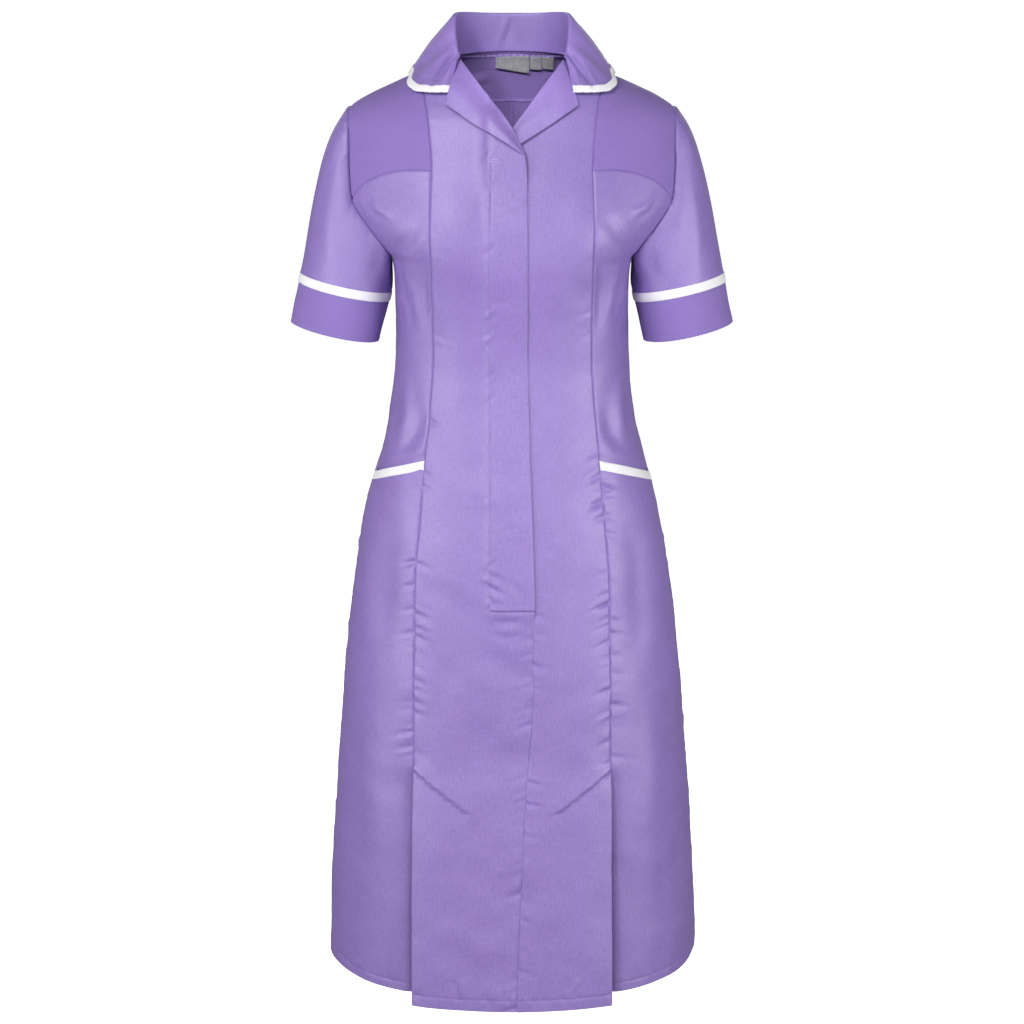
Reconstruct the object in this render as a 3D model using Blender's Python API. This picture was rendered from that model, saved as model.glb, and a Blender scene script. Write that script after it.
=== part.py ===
"""A nurse's uniform dress with a rever collar, filled out as when it is worn, but with nobody in it.

+Z is up and the front faces -Y. The wearer's right is at -X. The origin is on the middle line, level with the
seam at the nape, where the wearer's shoulders carry the dress. Lengths in the tables are millimetres.

Every panel is a patch of one smooth surface, the form, which is a stack of level sections. A place on the
form is an angle round it, 0 at the centre front, 90 at the side and 180 at the centre back, and a height.
"""

import math

import bmesh
import bpy
import numpy as np
from mathutils import Vector

for old in list(bpy.data.objects):
    bpy.data.objects.remove(old, do_unlink=True)

MM = 0.001

CLOTH = 1.2  # wall of one layer of cloth
DOUBLE = 1.6  # wall of the collar and the lapels, which are two layers
TAPE = 0.8  # wall of the white trims and the labels
PULL = 0.2  # how far each piece stops short of its seam
CLEAR = 0.4  # gap between a piece and one that lies on it
SIDE, BACK = 90.0, 180.0  # angles of the side seam and of the centre back

LILAC = (0.37, 0.27, 0.62)
DEEP_LILAC = (0.29, 0.20, 0.54)
WHITE = (0.85, 0.85, 0.86)
GREY = (0.36, 0.36, 0.38)

# The form's level sections. Each is half a superellipse before the middle and half behind it, where a
# squareness of 2 would be a plain ellipse.
FORM = (
    # name, height, half_width, front depth, back depth, front squareness, back squareness
    ("below_hem", -1080, 217, 165, 156, 2.25, 2.3),
    ("hem", -1040, 215.5, 163, 154, 2.25, 2.3),
    ("low_skirt", -947, 211, 156, 151, 2.25, 2.3),
    ("knee", -847, 204.5, 149, 147, 2.25, 2.3),
    ("mid_skirt", -749, 196.5, 141, 144, 2.25, 2.3),
    ("thigh", -652, 187.5, 134, 141, 2.25, 2.3),
    ("hip", -557, 175.5, 127, 138, 2.3, 2.3),
    ("high_hip", -487, 161.5, 120, 131, 2.35, 2.3),
    ("belly", -440, 147.5, 112, 119, 2.4, 2.3),
    ("below_waist", -394, 137, 104, 106, 2.4, 2.35),
    ("waist", -340, 130.5, 99, 94, 2.45, 2.4),
    ("ribs", -300, 128.8, 102, 90, 2.6, 2.45),
    ("under_bust", -255, 128.6, 110, 91, 2.8, 2.5),
    ("underarm", -216, 132, 118, 94, 2.9, 2.6),
    ("armpit", -205, 143, 119, 96, 2.75, 2.55),
    ("bust", -179, 168, 120.2, 99, 2.45, 2.45),
    ("chest", -150, 187, 115, 101, 2.3, 2.35),
    ("upper_chest", -111, 190, 103, 100, 2.25, 2.35),
    ("cap", -75, 188, 91, 95, 2.25, 2.35),
    ("shoulder_end", -62, 181, 86, 91, 2.25, 2.35),
    ("shoulder_tip", -56, 175, 83, 89, 2.25, 2.35),
    ("shoulder_3", -45, 158, 77, 85, 2.25, 2.35),
    ("shoulder_2", -33, 133, 70, 80, 2.25, 2.35),
    ("shoulder_1", -20, 103, 61, 74, 2.2, 2.3),
    ("neck_side", -10, 79, 53, 69, 2.15, 2.25),
    ("neck", 0, 59, 42, 62, 2.1, 2.2),
    ("above_neck", 12, 36, 22, 50, 2.1, 2.2),
)
BUST_RISE, BUST_OUT, BUST_HEIGHT, BUST_REACH = 7, 76, -186, 44  # fullness let in by the front seams

# Seams as (height, distance from the middle).
PRINCESS = (
    (-1080, 108.4), (-900, 109.4), (-778, 110), (-695, 109.3), (-581, 107.3), (-486, 100.7), (-435, 95.8),
    (-381, 90.6), (-316, 86.5), (-240, 87.2), (-174, 87.7), (-112, 86), (-75, 88.5), (-48, 92), (-28, 96),
    (-20, 98),
)
FRONT_EDGE = (  # the edge of the overlapping front, and the seam that carries on below it
    (-1080, 4), (-1000, 6.5), (-945, 8.5), (-883, 11.5), (-790, 16), (-748, 20), (-677, 24), (-591, 24.8),
    (-556, 24), (-458, 20.6), (-386, 18.4), (-315, 16.6), (-163, 16.4), (-119, 15.6), (-101, 13.7),
)
# The line where each front turns back into its lapel, from the break up to the neck: (distance, height).
ROLL = ((-13.7, -101), (0, -75), (18, -51), (36, -28), (54.6, -6))
LAPEL_POINT = (70, -50)
LAPEL_OFF, LAPEL_START = 2.1, 0.12  # its height over the front, and how far up from the break it starts
NECK_SIDE_HEIGHT = -3
SHOULDER_SEAM_HEIGHT = -20  # where the princess seam meets the shoulder seam

CENTRE_HEM, PLEAT_HEM, SIDE_HEM, BACK_HEM = -1046, -1038, -1030, -1036
# Heights of the rows of a body panel, from above the hem to the bust, whose rows face the armhole's stations.
SKIRT_ROWS = (-1000, -930, -860, -800, -770, -735, -690, -640, -592, -540, -490)
BODY_ROWS = (-440, -400, -360, -320, -280, -240)
BUST_ROWS = (-210, -194, -178, -162, -146, -130, -115)
YOKE_ROWS = (-115, -95, -75, -56, -40, -28)

# The armhole, from the shoulder tip down the front and up the back: (angle, height).
ARMHOLE = (
    (90, -56), (78, -61), (69.5, -72), (66.5, -92), (66.3, -112), (66, -132), (65.9, -150), (65.5, -166),
    (65.5, -181), (66.5, -196), (71, -208), (80, -214), (90, -216), (100, -214), (109, -208), (113.5, -196),
    (114.5, -181), (114.5, -160), (114, -140), (113.5, -120), (113, -100), (112, -80), (108, -68), (100, -60),
)
TOP, FRONT_SEAM, BOTTOM, BACK_SEAM = 0, 6, 12, 20  # its stations where other seams meet it
YOKE_BOW, BACK_YOKE_HEIGHT, BACK_YOKE_BOW = 11, -58, 11

# The sleeve is a tube round a slanting line. Distances along it are from the middle of the white tape.
TAPE_MIDDLE = np.array((184.6, -4.0, -253.0))
SLEEVE_LEAN, SLEEVE_FORWARD = 12.5, 2.5  # degrees out from straight down, and forward
SLEEVE_WIDE = ((-60, 55), (-10, 51.4), (52, 50.5))  # (distance, half width)
SLEEVE_DEEP = ((-60, 63), (0, 59.5), (52, 56))  # (distance, half depth)
CUFF_LENGTH, TAPE_WIDTH = 51, 10
SLEEVE_CLEAR = 0.6  # gap between the armhole and the sleeve's first row
UNDERARM_OFF, CAP_OFF = 1.7, 0.4  # how far off the form that row starts, below the arm and at the cap

POCKET_IN, POCKET_OUT, POCKET_BAND = -432.5, -465, 9.5  # heights of the pocket's mouth, and its trim's width
# Below its mouth the side front runs on behind the skirt, as the back of the pocket.
BAG_DROPS, BAG_BEHIND = (-16, 0, 30, 75, 120), 3.2  # rows below the mouth, and the distance behind the form
PLACKET_LIFT, PLACKET_STITCH, PLACKET_END, PLACKET_FADE = 2.2, 23, -592, 24
CROSSING_LIFT, UNDERLAP, UNDERLAP_FADE = 5.0, 18, 30

# Below its top, the kick pleat lets the centre panel stand forward and tucks the side panel in behind it.
PLEAT_ROWS = (-1038, -1000, -930, -860, -800)
CENTRE_STANDS = (
    (-1080, 13), (-1044, 12.5), (-930, 8.5), (-860, 5.5), (-800, 3), (-772, 0.4), (-760, 0), (0, 0),
)
SIDE_TUCKS = ((-1080, 6), (-1038, 6), (-930, 5), (-860, 3.8), (-800, 2.6), (-772, 0.3), (-760, 0), (0, 0))
TUCK_REACH, PLEAT_DEPTH, PLEAT_SLANT = 55, 52, 36
PLEAT_INSET = 1.0  # how far the pleat's strip stays inside the centre panel's edge

# The collar's stations from the centre back to its front end, in which a top is (x, y, z). Its leaf's edge
# lies a little off the shoulders, at an angle and a height of the form.
COLLAR = (
    # angle of the neck seam, top of the roll, angle and height of the leaf's edge, its distance off the form
    (180, (0, 60, 40), 180, -19, 6),
    (160, (25, 57, 40.5), 154, -19, 6),
    (140, (44, 47, 42), 129, -19, 6),
    (120, (56, 30, 43), 106, -20, 6),
    (98, (60.5, 10, 41), 86, -22, 6),
    (84, (60.5, -3, 31), 72, -23.5, 6),
    (72, (59.5, -13, 19), 54, -31.5, 5.5),
    (64, (58, -20, 9), 39, -37, 6.5),
    (58, (56, -26.5, 0.5), 23.8, -37.5, 7.5),
)
ROLL_RADIUS, LEAF_BULGE = 2.6, 2.5
FOOT_RISE, FOOT_INSIDE = 1.3, 0.3  # the collar's foot, above the neck seam and inside the form
BINDING_WIDTH, BINDING_OVER, BINDING_OFF = 7.5, 0.6, 1.5

LABELS = (
    # name, left and right edges, length
    ("neck_label", -18.5, 19.5, 15),
    ("small_label_inner", 20.3, 33.5, 14),
    ("small_label_outer", 34.3, 47, 13),
)
LABEL_TOP, LABEL_BEHIND, LABEL_SWING = -3.0, 3.4, 0.12


def curve(knots):
    """A smooth curve through (position, value) knots that doesn't overshoot them."""
    at, value = np.array(sorted(knots), float).T
    step = np.diff(at)
    slope = np.diff(value) / step
    lean = np.concatenate([slope[:1], np.zeros(len(at) - 2), slope[-1:]])
    for i in range(1, len(at) - 1):
        if slope[i - 1] * slope[i] > 0:
            near, far = 2 * step[i] + step[i - 1], step[i] + 2 * step[i - 1]
            lean[i] = (near + far) / (near / slope[i - 1] + far / slope[i])

    def read(position):
        position = np.clip(position, at[0], at[-1])
        i = np.clip(np.searchsorted(at, position) - 1, 0, len(step) - 1)
        s = (position - at[i]) / step[i]
        start = value[i] * (1 + 2 * s) + lean[i] * step[i] * s
        end = value[i + 1] * (3 - 2 * s) + lean[i + 1] * step[i] * (s - 1)
        return start * (1 - s) ** 2 + end * s * s

    return read


half_width = curve([(row[1], row[2]) for row in FORM])
front_depth = curve([(row[1], row[3]) for row in FORM])
back_depth = curve([(row[1], row[4]) for row in FORM])
front_square = curve([(row[1], row[5]) for row in FORM])
back_square = curve([(row[1], row[6]) for row in FORM])
princess, front_edge = curve(PRINCESS), curve(FRONT_EDGE)
centre_stands, side_tucks = curve(CENTRE_STANDS), curve(SIDE_TUCKS)
sleeve_wide, sleeve_deep = curve(SLEEVE_WIDE), curve(SLEEVE_DEEP)


def form(angle, height):
    """Points of the form at these angles and heights."""
    angle, height = np.broadcast_arrays(np.radians(np.asarray(angle, float)), np.asarray(height, float))
    across, ahead = np.sin(angle), np.cos(angle)
    before = ahead > 0
    power = 2 / np.where(before, front_square(height), back_square(height))
    x = half_width(height) * np.sign(across) * np.abs(across) ** power
    depth = np.where(before, front_depth(height), back_depth(height))
    y = -depth * np.sign(ahead) * np.abs(ahead) ** power
    bust = ((np.abs(x) - BUST_OUT) / BUST_REACH) ** 2 + ((height - BUST_HEIGHT) / BUST_REACH) ** 2
    y = y - np.where(before, BUST_RISE * np.exp(-bust), 0)
    return np.stack([x, y, height], axis=-1)


def outward(angle, height):
    """Unit vectors out of the form."""
    round_it = form(angle + 0.5, height) - form(angle - 0.5, height)
    up = form(angle, height + 0.5) - form(angle, height - 0.5)
    normal = np.cross(round_it, up)
    return normal / np.linalg.norm(normal, axis=-1, keepdims=True)


def on_front(distance, height):
    """The place on the front at this distance from the middle."""
    share = np.clip(np.abs(distance) / half_width(height), 0, 1)
    return np.sign(distance) * np.degrees(np.arcsin(share ** (front_square(height) / 2))), height


def smooth_step(value, low, high):
    """0 at low, 1 at high, and level at both."""
    share = np.clip((value - low) / (high - low), 0, 1)
    return share * share * (3 - 2 * share)


def ruled(inner, outer, columns, bow=0):
    """Angles and heights of a patch between two rails. Its first row rises by bow at its middle."""
    inner, outer = np.array(inner, float)[:, None], np.array(outer, float)[:, None]
    share = np.linspace(0, 1, columns + 1)[None, :, None]
    places = inner + (outer - inner) * share
    fade = np.clip(1 - np.arange(len(places)) / 3, 0, 1)[:, None]
    places[..., 1] += bow * fade * 4 * share[..., 0] * (1 - share[..., 0])
    return places[..., 0], places[..., 1]


def pulled_in(grid, bottom=PULL, top=PULL, first=PULL, last=PULL):
    """The grid of points with each edge moved in along the surface."""
    grid = grid.copy()
    for edge, beside, pull in (((0,), (1,), bottom), ((-1,), (-2,), top)):
        step = grid[beside] - grid[edge]
        grid[edge] += step / np.maximum(np.linalg.norm(step, axis=-1, keepdims=True), 1e-9) * pull
    for edge, beside, pull in ((0, 1, first), (-1, -2, last)):
        step = grid[:, beside] - grid[:, edge]
        grid[:, edge] += step / np.maximum(np.linalg.norm(step, axis=-1, keepdims=True), 1e-9) * pull
    return grid


def grid_normals(grid, ring=False):
    """Unit vectors out of a grid whose rows run up and whose columns run round it to its left."""
    along = np.gradient(grid, axis=0)
    if ring:
        across = np.roll(grid, -1, axis=1) - np.roll(grid, 1, axis=1)
    else:
        across = np.gradient(grid, axis=1)
    normal = np.cross(across, along)
    return normal / np.linalg.norm(normal, axis=-1, keepdims=True)


def quads_of(rows, columns, ring=False):
    """Faces of a grid, as corners numbered row by row. A ring's last column is joined to its first."""
    found = []
    for r in range(rows - 1):
        for c in range(columns if ring else columns - 1):
            d = (c + 1) % columns
            found.append((r * columns + c, r * columns + d, (r + 1) * columns + d, (r + 1) * columns + c))
    return found


dress = bpy.data.objects.new("dress", None)
materials = {}


def material(name, colour, roughness):
    if name not in materials:
        made = bpy.data.materials.new(name)
        made.use_nodes = True
        shader = made.node_tree.nodes["Principled BSDF"]
        shader.inputs["Base Color"].default_value = (*colour, 1)
        shader.inputs["Roughness"].default_value = roughness
        shader.inputs["Metallic"].default_value = 0
        materials[name] = made
    return materials[name]


FINISHES = {
    "cloth": (LILAC, 0.85),
    "deep_cloth": (DEEP_LILAC, 0.85),
    "trim": (WHITE, 0.8),
    "label": (GREY, 0.75),
}


def wall(name, faces, backs, quads, finish):
    """A closed wall between two sheets of points, with a rim along every free edge."""
    corners = np.concatenate([faces, backs])
    middle = corners.mean(axis=0)
    count, uses = len(faces), {}
    for quad in quads:
        for a, b in zip(quad, quad[1:] + quad[:1]):
            uses[(a, b)] = uses.get((a, b), 0) + 1
    rim = [(b, a, a + count, b + count) for a, b in uses if (b, a) not in uses]
    shell = [tuple(quad[i] + count for i in (0, 3, 2, 1)) for quad in quads]
    mesh = bpy.data.meshes.new(name)
    mesh.from_pydata([tuple(p) for p in (corners - middle) * MM], [], [*quads, *shell, *rim])
    solid = bmesh.new()
    solid.from_mesh(mesh)
    bmesh.ops.remove_doubles(solid, verts=solid.verts, dist=1e-6)
    solid.to_mesh(mesh)
    solid.free()
    mesh.shade_smooth()
    mesh.set_sharp_from_angle(angle=math.radians(40))
    piece = bpy.data.objects.new(name, mesh)
    piece.location = Vector(middle * MM)
    piece.parent = dress
    mesh.materials.append(material(finish, *FINISHES[finish]))
    bpy.context.scene.collection.objects.link(piece)
    return piece


def grid_wall(name, grid, normals, thickness, finish, mirror=False, ring=False):
    """A wall whose outer face is the grid. With mirror it is built on the other side of the middle."""
    backs = grid - normals * np.asarray(thickness)[..., None]
    if mirror:
        grid, backs = grid[:, ::-1] * (-1, 1, 1), backs[:, ::-1] * (-1, 1, 1)
    rows, columns = grid.shape[:2]
    return wall(name, grid.reshape(-1, 3), backs.reshape(-1, 3), quads_of(rows, columns, ring), finish)


def body_patch(name, places, finish, mirror, lift=None, thickness=CLOTH, **pulls):
    """A panel of the form between two rails, lifted off it where lift says so."""
    angle, height = places
    normals = outward(angle, height)
    points = form(angle, height)
    if lift is not None:
        points = points + normals * lift(points[..., 0], points[..., 2])[..., None]
    return grid_wall(name, pulled_in(points, **pulls), normals, thickness, finish, mirror)


# ---- centre fronts: from the front edge to the princess seam, and from the hem to the shoulder


def right_lift(x, z):
    """The overlapping front rises over the other one behind its placket, most where it meets the lapels."""
    over = smooth_step(x, 2 * PLACKET_STITCH, PLACKET_STITCH)
    over = over * smooth_step(z, PLACKET_END - PLACKET_FADE, PLACKET_END)
    crossing = smooth_step(z, -140, -104) * (1 - smooth_step(z, -66, -40)) * smooth_step(x, 42, 18)
    return centre_stands(z) + PLACKET_LIFT * over + CROSSING_LIFT * crossing


def left_lift(x, z):
    return centre_stands(z) + 0 * x


def centre_front(name, edge, lift, mirror):
    """edge gives the distance of the front edge from the middle, on the side that the panel covers."""
    heights = [CENTRE_HEM, *SKIRT_ROWS, *BODY_ROWS, *BUST_ROWS]
    inner = [on_front(edge(z), z) for z in heights]
    outer = [on_front(princess(z), z) for z in heights]
    inner += [on_front(*point) for point in ROLL] + [(SIDE, NECK_SIDE_HEIGHT)]
    outer += [on_front(princess(z), z) for z in YOKE_ROWS[1:]] + [(SIDE, SHOULDER_SEAM_HEIGHT)]
    body_patch(name, ruled(inner, outer, 5), "cloth", mirror, lift)


def underlap_edge(z):
    """The left front meets the seam low down. Above the placket's end it runs on behind the right front."""
    behind = smooth_step(z, PLACKET_END, PLACKET_END + UNDERLAP_FADE)
    return front_edge(z) + behind * (-UNDERLAP - front_edge(z))


centre_front("front_centre_right", lambda z: -front_edge(z), right_lift, True)
centre_front("front_centre_left", underlap_edge, left_lift, False)


# ---- front yokes, side fronts, skirt sides and pocket trims


def side_lift(x, z):
    """Below the pleat's top the side panel sinks beside the seam, to pass behind the centre panel."""
    reach = np.clip(1 - (np.abs(x) - princess(z)) / TUCK_REACH, 0, 1) ** 2
    return -side_tucks(z) * reach


def pocket_mouth(drop=0.0):
    """Places along the pocket's mouth, or along a line below it."""
    return on_front(princess(POCKET_IN - drop), POCKET_IN - drop), (SIDE, POCKET_OUT - drop)


def trim_lift(x, z):
    return CLEAR + TAPE + 0 * x


def skirt_rows():
    """Rails of the skirt side, from the hem up to the pocket's mouth."""
    first, last = pocket_mouth()
    heights = [z for z in SKIRT_ROWS if z < POCKET_OUT - 20]
    inner = [on_front(princess(z), z) for z in [PLEAT_HEM, *heights]] + [first]
    outer = [(SIDE, z) for z in [SIDE_HEM, *heights]] + [last]
    return inner, outer


def front_side_pieces(side, mirror):
    """The yoke, the side front with the pocket's back, the skirt side, and the trim of the pocket's mouth."""
    stations = ARMHOLE[TOP : FRONT_SEAM + 1][::-1]
    inner = [on_front(princess(z), z) for z in YOKE_ROWS] + [(SIDE, SHOULDER_SEAM_HEIGHT)]
    body_patch(f"front_yoke_{side}", ruled(inner, stations, 5, YOKE_BOW), "deep_cloth", mirror)

    inner = [on_front(princess(z), z) for z in BUST_ROWS[::-1]]
    outer = list(ARMHOLE[FRONT_SEAM : BOTTOM + 1])
    for z in BODY_ROWS[::-1]:
        if z > POCKET_IN + 20:
            inner.append(on_front(princess(z), z))
            outer.append((SIDE, z))
    for drop in BAG_DROPS:
        place, side_place = pocket_mouth(drop)
        inner.append(place)
        outer.append(side_place)
    depth = np.zeros(len(inner))
    depth[-len(BAG_DROPS) + 1 :] = BAG_BEHIND
    angle, height = ruled(inner, outer, 5, YOKE_BOW)
    places = (angle[::-1], height[::-1])
    body_patch(f"front_side_{side}", places, "cloth", mirror, lambda x, z: -depth[::-1, None] + 0 * x)

    inner, outer = skirt_rows()
    body_patch(f"skirt_side_{side}", ruled(inner, outer, 5), "cloth", mirror, side_lift)

    inner, outer = zip(pocket_mouth(POCKET_BAND), pocket_mouth(-CLEAR))
    places = ruled(inner, outer, 5)
    body_patch(f"pocket_trim_{side}", places, "trim", mirror, trim_lift, TAPE, bottom=0, top=0)


for side, mirror in (("right", True), ("left", False)):
    front_side_pieces(side, mirror)


# ---- kick pleats: a strip folded back behind each edge of the centre panel


def kick_pleat(name, mirror):
    """The strip runs in behind the centre panel, turns, and runs out again to the side panel."""
    rows = []
    for z in PLEAT_ROWS:
        out = princess(z) - PLEAT_INSET
        # The pleat is sewn along a slanting line, so its top row drops towards the middle.
        drop = np.linspace(0, -PLEAT_SLANT, 4) if z == PLEAT_ROWS[-1] else np.zeros(4)
        near = centre_stands(z) - CLOTH - 2 * CLEAR
        far = -side_tucks(z)
        shares = np.linspace(0, 1, 4)
        front_leg = [(out - PLEAT_DEPTH * s, z + d, near) for s, d in zip(shares, drop)]
        back_leg = [(out - PLEAT_DEPTH * s, z + d, far - CLOTH) for s, d in zip(shares, drop)][::-1]
        line = []
        for distance, height, lift in front_leg + back_leg:
            angle, _ = on_front(distance, height)
            line.append(form(angle, height) + outward(angle, height) * lift)
        rows.append(line)
    outside = np.array(rows)
    # The strip's wall lies inside the fold, so each leg is moved towards the other one.
    normals = grid_normals(outside)
    grid_wall(name, outside[:, ::-1], -normals[:, ::-1], CLOTH, "cloth", mirror)


for side, mirror in (("right", True), ("left", False)):
    kick_pleat(f"kick_pleat_{side}", mirror)


# ---- back: two halves below a yoke


def back_seam(columns):
    """Places along the back yoke's seam, from the middle to the armhole."""
    share = np.linspace(0, 1, columns + 1)
    angle, height = ARMHOLE[BACK_SEAM]
    bow = BACK_YOKE_BOW * 4 * share * (1 - share)
    return BACK + (angle - BACK) * share, BACK_YOKE_HEIGHT + (height - BACK_YOKE_HEIGHT) * share + bow


def back_half(name, mirror):
    heights = [*SKIRT_ROWS, *BODY_ROWS]
    stations = ARMHOLE[BOTTOM : BACK_SEAM + 1]
    outer = [(SIDE, z) for z in [SIDE_HEM, *heights]] + list(stations)
    climb = np.linspace(-208, BACK_YOKE_HEIGHT, len(stations))
    inner = [(BACK, z) for z in [BACK_HEM, *heights, *climb]]
    angle, height = ruled(outer, inner, 7)
    seam_angle, seam_height = back_seam(7)
    angle[-1], height[-1] = seam_angle[::-1], seam_height[::-1]
    body_patch(name, (angle, height), "cloth", mirror)


def back_yoke(name):
    """One piece from armhole to armhole, blended between its four edges."""
    columns, neck_columns = 14, 6
    bottom = np.array(back_seam(columns))
    neck = np.linspace(0, 1, neck_columns + 1)
    shoulder = np.linspace(0, 1, columns - neck_columns + 1)[1:]
    top_angle = np.concatenate([BACK + (SIDE - BACK) * neck, np.full(len(shoulder), SIDE)])
    slope = NECK_SIDE_HEIGHT + (ARMHOLE[TOP][1] - NECK_SIDE_HEIGHT) * shoulder
    top = np.array([top_angle, np.concatenate([NECK_SIDE_HEIGHT * neck**2, slope])])
    last = np.array(ARMHOLE[BACK_SEAM:] + ARMHOLE[:1], float).T
    rows = last.shape[1]
    first = np.linspace(bottom[:, 0], top[:, 0], rows).T
    u, v = np.linspace(0, 1, columns + 1)[None, None, :], np.linspace(0, 1, rows)[None, :, None]
    edges = (1 - v) * bottom[:, None] + v * top[:, None] + (1 - u) * first[..., None] + u * last[..., None]
    corners = (1 - u) * ((1 - v) * bottom[:, :1, None] + v * top[:, :1, None])
    corners = corners + u * ((1 - v) * bottom[:, -1:, None] + v * top[:, -1:, None])
    angle, height = (edges - corners)[:, :, ::-1]
    normals = outward(angle, height)
    grid = pulled_in(form(angle, height), last=0)
    backs = grid - normals * CLOTH
    other = [sheet[:, -2::-1] * (-1, 1, 1) for sheet in (grid, backs)]
    grid, backs = (np.concatenate([sheet, more], axis=1) for sheet, more in zip((grid, backs), other))
    rows, columns = grid.shape[:2]
    wall(name, grid.reshape(-1, 3), backs.reshape(-1, 3), quads_of(rows, columns), "deep_cloth")


for side, mirror in (("right", True), ("left", False)):
    back_half(f"back_{side}", mirror)
back_yoke("back_yoke")


# ---- sleeves, cuffs and their tapes


def sleeve_axes():
    """Unit vectors down the sleeve, across it towards the outside, and across it towards the front."""
    lean, forward = math.radians(SLEEVE_LEAN), math.radians(SLEEVE_FORWARD)
    down = np.array((math.sin(lean), -math.sin(forward), -math.cos(lean)))
    down /= np.linalg.norm(down)
    out = np.cross(down, (0, 1, 0))
    out /= -np.linalg.norm(out)
    if out[0] < 0:
        out = -out
    ahead = np.cross(out, down)
    return down, out, ahead if ahead[1] < 0 else -ahead


def tube(turn, distance):
    """Points of the sleeve's tube. A turn is in degrees from its outer line, by way of the front."""
    down, out, ahead = sleeve_axes()
    turn, distance = np.broadcast_arrays(np.radians(turn), np.asarray(distance, float))
    wide = (sleeve_wide(distance) * np.cos(turn))[..., None]
    deep = (sleeve_deep(distance) * np.sin(turn))[..., None]
    return TAPE_MIDDLE + distance[..., None] * down + wide * out + deep * ahead


def armhole_turns():
    """The turn of the sleeve's tube that faces each station, spaced by length on each half of the armhole."""
    points = form(*np.array(ARMHOLE + ARMHOLE[:1], float).T)
    steps = np.linalg.norm(np.diff(points, axis=0), axis=1)
    front, back = steps[:BOTTOM], steps[BOTTOM:]
    first = 180 * np.concatenate([[0], np.cumsum(front)]) / front.sum()
    second = 180 + 180 * np.cumsum(back) / back.sum()
    return np.concatenate([first, second[:-1]])


def sleeve_grid(rows):
    """From the armhole to the tape. Each line leaves the armhole outward and arrives along the tube."""
    turns = armhole_turns()
    start = form(*np.array(ARMHOLE, float).T)
    end = tube(turns, -TAPE_WIDTH)
    down = sleeve_axes()[0]
    c, s = np.cos(np.radians(turns)), np.sin(np.radians(turns))
    # Outward and down, and further outward at the cap than below the arm.
    leave = np.stack([0.5 + 0.32 * c, -0.45 * s, -(0.8 - 0.2 * c)], axis=-1)
    leave /= np.linalg.norm(leave, axis=-1, keepdims=True)
    off = outward(*np.array(ARMHOLE, float).T)
    start = start + leave * SLEEVE_CLEAR + off * (CAP_OFF + (UNDERARM_OFF - CAP_OFF) * (1 - c[:, None]) / 2)
    reach = np.linalg.norm(end - start, axis=-1, keepdims=True)
    t = np.linspace(0, 1, rows)[:, None, None]
    hermite = (2 * t**3 - 3 * t**2 + 1) * start + (t**3 - 2 * t**2 + t) * leave * reach * 0.68
    hermite = hermite + (3 * t**2 - 2 * t**3) * end + (t**3 - t**2) * down * reach
    return np.concatenate([hermite, tube(turns, -PULL)[None]])


def sleeve_pieces(side, mirror):
    grid = sleeve_grid(7)[::-1]
    grid_wall(f"sleeve_{side}", grid, grid_normals(grid, ring=True), CLOTH, "cloth", mirror, ring=True)
    turns = armhole_turns()
    cuff = tube(turns[None, :], np.linspace(CUFF_LENGTH, PULL, 3)[:, None])
    grid_wall(f"cuff_{side}", cuff, grid_normals(cuff, ring=True), CLOTH, "deep_cloth", mirror, ring=True)
    tape = tube(turns[None, :], np.linspace(TAPE_WIDTH / 2, -TAPE_WIDTH / 2, 2)[:, None])
    normals = grid_normals(tape, ring=True)
    tape = tape + normals * (CLEAR + TAPE)
    grid_wall(f"sleeve_trim_{side}", tape, normals, TAPE, "trim", mirror, ring=True)


for side, mirror in (("right", True), ("left", False)):
    sleeve_pieces(side, mirror)


# ---- collar, its binding, and the lapels


def neck_height(angle):
    """Height of the neck seam: level at the back, a little lower at the shoulder and to the front."""
    return np.interp(angle, (58, SIDE, BACK), (-5.6, NECK_SIDE_HEIGHT, 0))


def collar_station(position):
    """Neck seam, roll and edge at a position along the table, 0 at the centre back."""
    columns = [(row[0], *row[1], *row[2:]) for row in COLLAR]
    read = [curve(list(enumerate(column)))(position) for column in zip(*columns)]
    angle, roll, (edge_angle, edge_height, off) = read[0], np.array(read[1:4]), read[4:]
    edge = form(edge_angle, edge_height) + outward(edge_angle, edge_height) * off
    seam = neck_height(angle)
    foot = form(angle, seam) - outward(angle, seam) * FOOT_INSIDE + np.array((0, 0, FOOT_RISE))
    return foot, roll, edge


def collar_profile(position, leaf_points=4):
    """Up the stand, over the roll in a half turn, and down the leaf, which bulges a little."""
    foot, roll, edge = collar_station(position)
    away = edge - roll
    away[2] = 0
    away /= np.linalg.norm(away)
    up = np.array((0, 0, 1))
    centre = roll + away * ROLL_RADIUS - up * ROLL_RADIUS
    points = [foot, foot + (centre - away * ROLL_RADIUS - foot) * 0.55]
    for turn in np.radians((0, 45, 90, 135)):
        points.append(centre + ROLL_RADIUS * (up * math.sin(turn) - away * math.cos(turn)))
    start = points[-1]
    leaf = edge - start
    normal = np.cross(np.cross(away, up), leaf)
    normal /= np.linalg.norm(normal)
    if normal[2] < 0:
        normal = -normal
    for share in np.linspace(0, 1, leaf_points + 1)[1:]:
        points.append(start + leaf * share + normal * LEAF_BULGE * math.sin(math.pi * share))
    return points


def collar_grid(stations):
    """Columns from the right front end round the back to the left one, and rows from the seam to the edge."""
    half = [collar_profile(p) for p in np.linspace(0, len(COLLAR) - 1, stations)]
    grid = np.array(half).transpose(1, 0, 2)
    other = grid[:, :0:-1] * (-1, 1, 1)
    return np.concatenate([other, grid], axis=1)


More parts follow.
